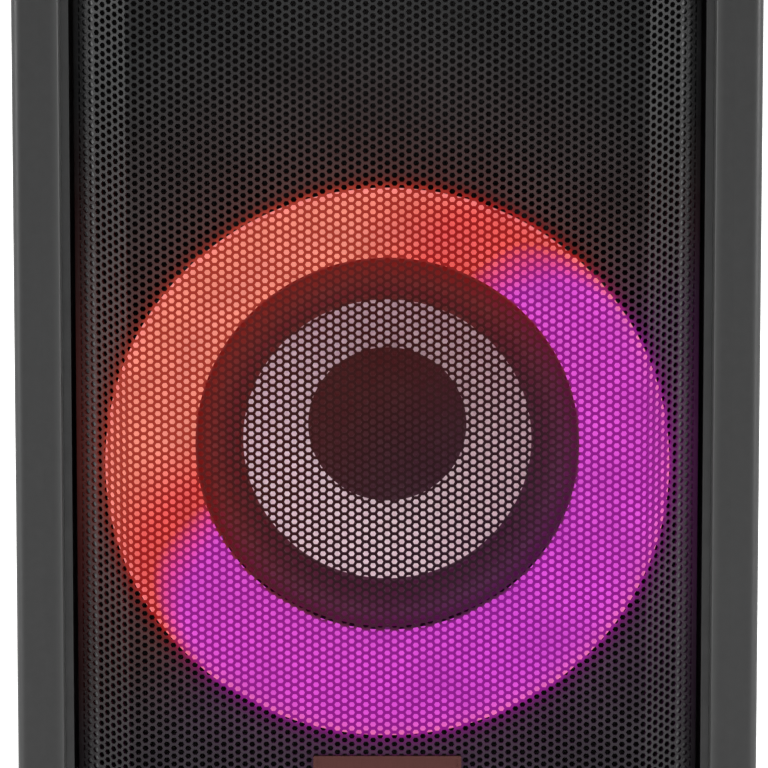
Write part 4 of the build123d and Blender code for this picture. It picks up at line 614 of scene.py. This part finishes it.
MATERIALS = {
    "cabinet": moulded_plastic("cabinet_plastic", (0.014, 0.014, 0.015), 0.55),
    "column": column_plastic(),
    "trim": moulded_plastic("trim_plastic", (0.014, 0.014, 0.015), 0.5),
    "baffle": moulded_plastic("baffle_paint", (0.006, 0.0056, 0.0056), 0.8, Specular_IOR_Level=0.2),
    "tweeter": moulded_plastic("tweeter_plastic", (0.006, 0.006, 0.006), 0.6, Specular_IOR_Level=0.25),
    "badge": brushed_metal("badge_metal", (0.06, 0.024, 0.022), 0.42, (60.0, 1.0, 1.0)),
    "basket": coated_steel("basket_paint", (0.03, 0.03, 0.03), 0.5),
    "magnet": coated_steel("magnet_ferrite", (0.045, 0.045, 0.05), 0.6),
    "plate": brushed_metal("plate_steel", (0.5, 0.5, 0.5), 0.4),
    "cone": woofer_paper(),
    "dust_cap": lit_cloth(),
    "surround": lit_rubber(),
    "rubber": soft_rubber("black_rubber", (0.014, 0.014, 0.014)),
    "spider": woven("spider_cloth", (0.5, 0.33, 0.14), 300.0),
    "copper": brushed_metal("coil_copper", (0.72, 0.36, 0.2), 0.35, (1.0, 60.0, 1.0)),
    "led": moulded_plastic("led_lens", (0.8, 0.8, 0.72), 0.3),
    "circuit": circuit_board("circuit_board"),
    "heatsink": brushed_metal("heatsink_aluminium", (0.6, 0.6, 0.62), 0.4, (1.0, 1.0, 60.0)),
    "button": moulded_plastic("button_plastic", (0.03, 0.03, 0.032), 0.45),
    "panel": moulded_plastic("panel_gloss", (0.008, 0.008, 0.009), 0.22, depth=0.00002),
    "socket": brushed_metal("socket_nickel", (0.5, 0.5, 0.5), 0.3),
    "battery": moulded_plastic("battery_wrap", (0.05, 0.09, 0.24), 0.35),
    "screw": brushed_metal("screw_steel", (0.25, 0.25, 0.26), 0.35),
    "wire": soft_rubber("wire_sleeve", (0.03, 0.03, 0.03), 0.5),
    "silk": woven("dome_silk", (0.03, 0.03, 0.03), 500.0),
    "ring": ring_light(),
}

LOOKS = {
    "cabinet": ["cabinet_shell", "rear_panel", "top_cap", "base_tray"],
    "column": ["left_column", "right_column"],
    "trim": [
        "pole_socket", "grille_frame", "ring_light_housing", "io_panel", "io_door",
        "port_tube", "battery_door", "mains_inlet",
    ],
    "baffle": ["front_baffle"],
    "tweeter": ["tweeter_frames"],
    "badge": ["badge"],
    "basket": ["woofer_basket"],
    "magnet": ["woofer_magnet", "tweeter_magnets"],
    "plate": ["woofer_top_plate", "woofer_yoke"],
    "cone": ["woofer_cone"],
    "dust_cap": ["woofer_dust_cap"],
    "surround": ["woofer_surround"],
    "rubber": ["handle_bar", "rubber_feet", "woofer_gasket", "inlet_cover"],
    "spider": ["woofer_spider"],
    "copper": ["woofer_voice_coil"],
    "led": ["ring_light_leds"],
    "circuit": ["ring_light_board", "control_board", "io_board", "amplifier_board", "power_supply"],
    "heatsink": ["amplifier_heatsink"],
    "button": [
        "mic_knob", "guitar_knob", "power_button", "pair_button", "bass_button", "light_button",
        "minus_button", "play_button", "plus_button",
    ],
    "panel": ["control_panel"],
    "socket": ["audio_jacks", "aux_jack", "usb_port"],
    "battery": ["battery_pack"],
    "screw": ["woofer_screws", "case_screws"],
    "wire": ["speaker_leads", "board_leads"],
    "silk": ["tweeter_left_dome", "tweeter_right_dome"],
    "ring": ["ring_light_diffuser"],
}


def finish_node(node, material):
    data = NODES[node].data
    data.materials.clear()
    data.materials.append(material)


for look, nodes in LOOKS.items():
    for node in nodes:
        finish_node(node, MATERIALS[look])

# ---------------------------------------------------------------- prints, lamps and grip ribs


PRINT_SUNK = 0.15 * MM


def middle_of(low, high):
    """Middle of a box seen from above."""
    return (low.x + high.x) / 2, (low.y + high.y) / 2


def prism(outline, low, high):
    """Vertices and faces of an upright prism over a flat outline."""
    n = len(outline)
    vertices = [(x, y, z) for z in (low, high) for x, y in outline]
    faces = [tuple(range(n))[::-1], tuple(range(n, 2 * n))]
    faces += [(i, (i + 1) % n, n + (i + 1) % n, n + i) for i in range(n)]
    return vertices, faces


def band_arc(radius, width, start, end, steps=24):
    """Flat outline of a ring's arc, angles in degrees."""
    turns = np.radians(np.linspace(start, end, steps))
    outer = [((radius + width / 2) * math.cos(a), (radius + width / 2) * math.sin(a)) for a in turns]
    inner = [((radius - width / 2) * math.cos(a), (radius - width / 2) * math.sin(a)) for a in turns]
    return outer + inner[::-1]


def disc(radius, steps=24):
    return [
        (radius * math.cos(2 * math.pi * i / steps), radius * math.sin(2 * math.pi * i / steps))
        for i in range(steps)
    ]


def bar(x0, x1, y0, y1):
    return [(x0, y0), (x1, y0), (x1, y1), (x0, y1)]


def turned_by(outline, degrees):
    c, s = math.cos(math.radians(degrees)), math.sin(math.radians(degrees))
    return [(x * c - y * s, x * s + y * c) for x, y in outline]


def printed(name, outlines, place, top, body, material, thick=0.25):
    """Raised print: outlines in millimetres about a place, standing on a surface."""
    placed = [[(place[0] + x * MM, place[1] + y * MM) for x, y in outline] for outline in outlines]
    prisms = [prism(points, top - PRINT_SUNK, top + thick * MM) for points in placed]
    own_piece(name, joined(prisms), body, material)


# outlines in millimetres about each button's middle
ICONS = {
    "power": [band_arc(3.2, 0.7, -230, 50), bar(-0.35, 0.35, 1.2, 4.4)],
    "pair": [disc(0.8)] + [band_arc(r, 0.6, -50, 50, 12) for r in (2.4, 4.2)]
    + [band_arc(r, 0.6, 130, 230, 12) for r in (2.4, 4.2)],
    "bass": [
        bar(x - 0.5, x + 0.5, -h, h)
        for x, h in ((-3.6, 1.2), (-1.8, 3.0), (0, 4.0), (1.8, 2.2), (3.6, 1.0))
    ],
    "light": [band_arc(1.9, 0.7, 0, 358, 30)]
    + [turned_by(bar(3.2, 4.8, -0.3, 0.3), 45 * i) for i in range(8)],
    "minus": [bar(-3.6, 3.6, -0.5, 0.5)],
    "play": [[(-4.6, -3.6), (0.6, 0.0), (-4.6, 3.6)], bar(1.6, 2.7, -3.5, 3.5), bar(3.9, 5.0, -3.5, 3.5)],
    "plus": [bar(-3.6, 3.6, -0.5, 0.5), bar(-0.5, 0.5, 0.5, 3.6), bar(-0.5, 0.5, -3.6, -0.5)],
}


def button_icons(material):
    for name, outlines in ICONS.items():
        low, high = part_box(f"{name}_button")
        place = middle_of(low, high)
        printed(f"{name}_icon", outlines, place, high.z, name, material)


LAMP_ROW = 38.0 * MM


def panel_marks(material, lamp):
    """Thin border line, two arcs round the play button and a row of charge lamps."""
    low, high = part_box("control_panel")
    middle = middle_of(low, high)
    border = 3.0
    hx, hy = (high.x - low.x) / 2 / MM - border, (high.y - low.y) / 2 / MM - border
    frame_lines = [
        bar(-hx, hx, -hy, -hy + 0.5), bar(-hx, hx, hy - 0.5, hy),
        bar(-hx, -hx + 0.5, -hy + 0.5, hy - 0.5), bar(hx - 0.5, hx, -hy + 0.5, hy - 0.5),
    ]
    play = (0.0, middle_of(*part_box("play_button"))[1])
    face = high.z - 0.05 * MM
    printed("panel_border", frame_lines, middle, face, CABINET, material, 0.15)
    halo = [band_arc(18.0, 0.6, a, a + 56, 20) for a in (62, 242)]
    printed("play_halo", halo, play, face, CABINET, material, 0.15)
    lamps = [[(x + px, y) for px, y in disc(1.0, 16)] for x in (-16, -8, 0, 8, 16)]
    lamp_place = (0.0, middle[1] - LAMP_ROW)
    printed("charge_lamps", lamps, lamp_place, face, CABINET, lamp, 0.3)


def grip_ribs(material):
    """Cross ribs with tapered ends along the top of the handle."""
    low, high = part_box("handle_bar")
    pitch, half_side, half_end, side_y, end_y = 5.0, 0.9, 0.5, 8.0, 9.4
    quarter = [(half_side, side_y), (half_end, end_y)]
    ribs = []
    for i in range(-11, 12):
        x = i * pitch
        outline = [(x - dx, -y) for dx, y in quarter] + [(x + dx, -y) for dx, y in quarter[::-1]]
        outline += [(x + dx, y) for dx, y in quarter] + [(x - dx, y) for dx, y in quarter[::-1]]
        ribs.append(outline)
    printed("grip_ribs", ribs, middle_of(low, high), high.z, CABINET, material, 0.4)


SCREEN_INSET = 16.0 * MM
SCREEN_RADIUS = 28.0 * MM
SCREEN_WIRES = 7
WIRE_PITCH = 7.4 * MM
WIRE_RADIUS = 0.6 * MM
WIRE_WAVE = 0.25 * MM
WIRE_SHIFT = 0.5 * MM


def port_screen(material):
    """Crossed wavy wires just inside the bass port."""
    low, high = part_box("port_tube")
    centre_z = (low.z + high.z) / 2
    wires = []
    for vertical in (False, True):
        y = high.y - SCREEN_INSET + (WIRE_SHIFT if vertical else -WIRE_SHIFT)
        for i in range(SCREEN_WIRES):
            offset = (i - (SCREEN_WIRES - 1) / 2) * WIRE_PITCH
            half = math.sqrt(max(SCREEN_RADIUS ** 2 - offset ** 2, 0.0)) - 0.2 * MM
            run = []
            for t in np.linspace(-half, half, 15):
                wave = WIRE_WAVE * math.sin(t / (WIRE_PITCH / 2) * math.pi + i * math.pi)
                round_wire = [(WIRE_RADIUS * c, y + wave + WIRE_RADIUS * d) for c, d in disc(1.0, 6)]
                if vertical:
                    run.append([(offset + across, deep, centre_z + t) for across, deep in round_wire])
                else:
                    run.append([(t, deep, centre_z + offset + across) for across, deep in round_wire])
            wires.append(strip(run))
    own_piece("port_screen", joined(wires), CABINET, material)


def print_ink():
    s = Shader("icon_print")
    s.color(s.ramp(s.noise(700.0, 2.0), [(0.3, (0.42, 0.42, 0.42)), (0.7, (0.55, 0.55, 0.55))]))
    s.rough(s.remap(s.noise(300.0), 0.3, 0.7, 0.5, 0.65))
    return s.material


def lamp_lens():
    s = Shader("charge_lamp")
    tone = s.ramp(s.noise(900.0, 2.0), [(0.3, (0.55, 0.75, 0.9)), (0.7, (0.7, 0.88, 1.0))])
    s.color(tone)
    s.rough(s.remap(s.noise(300.0), 0.3, 0.7, 0.2, 0.3))
    return s.glow(tone, 0.8).material


# ---------------------------------------------------------------- stage, lights and camera

FLOOR_HALF = 30.0

def floor():
    half = FLOOR_HALF
    obj = mesh_object(
        "studio_floor",
        [(-half, -half, 0), (half, -half, 0), (half, half, 0), (-half, half, 0)],
        [(0, 1, 2, 3)],
        floor_paint(),
    )


def floor_paint():
    s = Shader("floor_paint")
    s.color(s.ramp(s.noise(1.5), [(0.3, (0.86, 0.86, 0.86)), (0.7, (0.9, 0.9, 0.9))]))
    s.bsdf.inputs["Emission Color"].default_value = (1.0, 1.0, 1.0, 1.0)
    return s.put(Roughness=0.9, Emission_Strength=0.4).material


def softbox(name, place, aim, size, watts, color=(1.0, 1.0, 1.0)):
    light = bpy.data.lights.new(name, "AREA")
    light.shape = "RECTANGLE"
    light.size, light.size_y = size
    light.energy = watts
    light.color = color
    obj = bpy.data.objects.new(name, light)
    obj.location = place
    obj.rotation_euler = (Vector(aim) - Vector(place)).to_track_quat("-Z", "Y").to_euler()
    obj.visible_camera = False
    bpy.context.scene.collection.objects.link(obj)


def studio():
    world = bpy.data.worlds.new("studio_world")
    bpy.context.scene.world = world
    world.use_nodes = True
    shade = world.node_tree.nodes["Background"]
    shade.inputs["Color"].default_value = (1.0, 1.0, 1.0, 1.0)
    shade.inputs["Strength"].default_value = 0.35
    middle = (0.0, 0.0, 0.3)
    softbox("left_box", (-2.4, -1.1, 0.9), middle, (0.9, 2.0), 115.0)
    softbox("right_box", (2.4, -1.1, 0.9), middle, (0.9, 2.0), 115.0)
    softbox("top_box", (0.4, -0.9, 2.6), middle, (1.6, 1.2), 60.0)
    softbox("rear_box", (0.0, 2.6, 1.6), middle, (2.0, 1.4), 40.0)


VIEW_PITCH = math.radians(13.9)
CAMERA_PLACE = Vector((-1.3, -3607.0, 1082.0)) * MM
CAMERA_LENS = 431.0


def camera():
    data = bpy.data.cameras.new("photo_camera")
    data.lens = CAMERA_LENS
    data.sensor_width = 36.0
    data.clip_end = 100.0
    obj = bpy.data.objects.new("photo_camera", data)
    obj.location = CAMERA_PLACE
    obj.rotation_euler = (math.pi / 2 - VIEW_PITCH, 0.0, 0.0)
    bpy.context.scene.collection.objects.link(obj)
    bpy.context.scene.camera = obj


# ---------------------------------------------------------------- build

perforated_grille()
ink = print_ink()
button_icons(ink)
panel_marks(ink, lamp_lens())
grip_ribs(MATERIALS["rubber"])
port_screen(MATERIALS["basket"])
floor()
studio()
camera()
bpy.context.scene.view_settings.view_transform = "Standard"
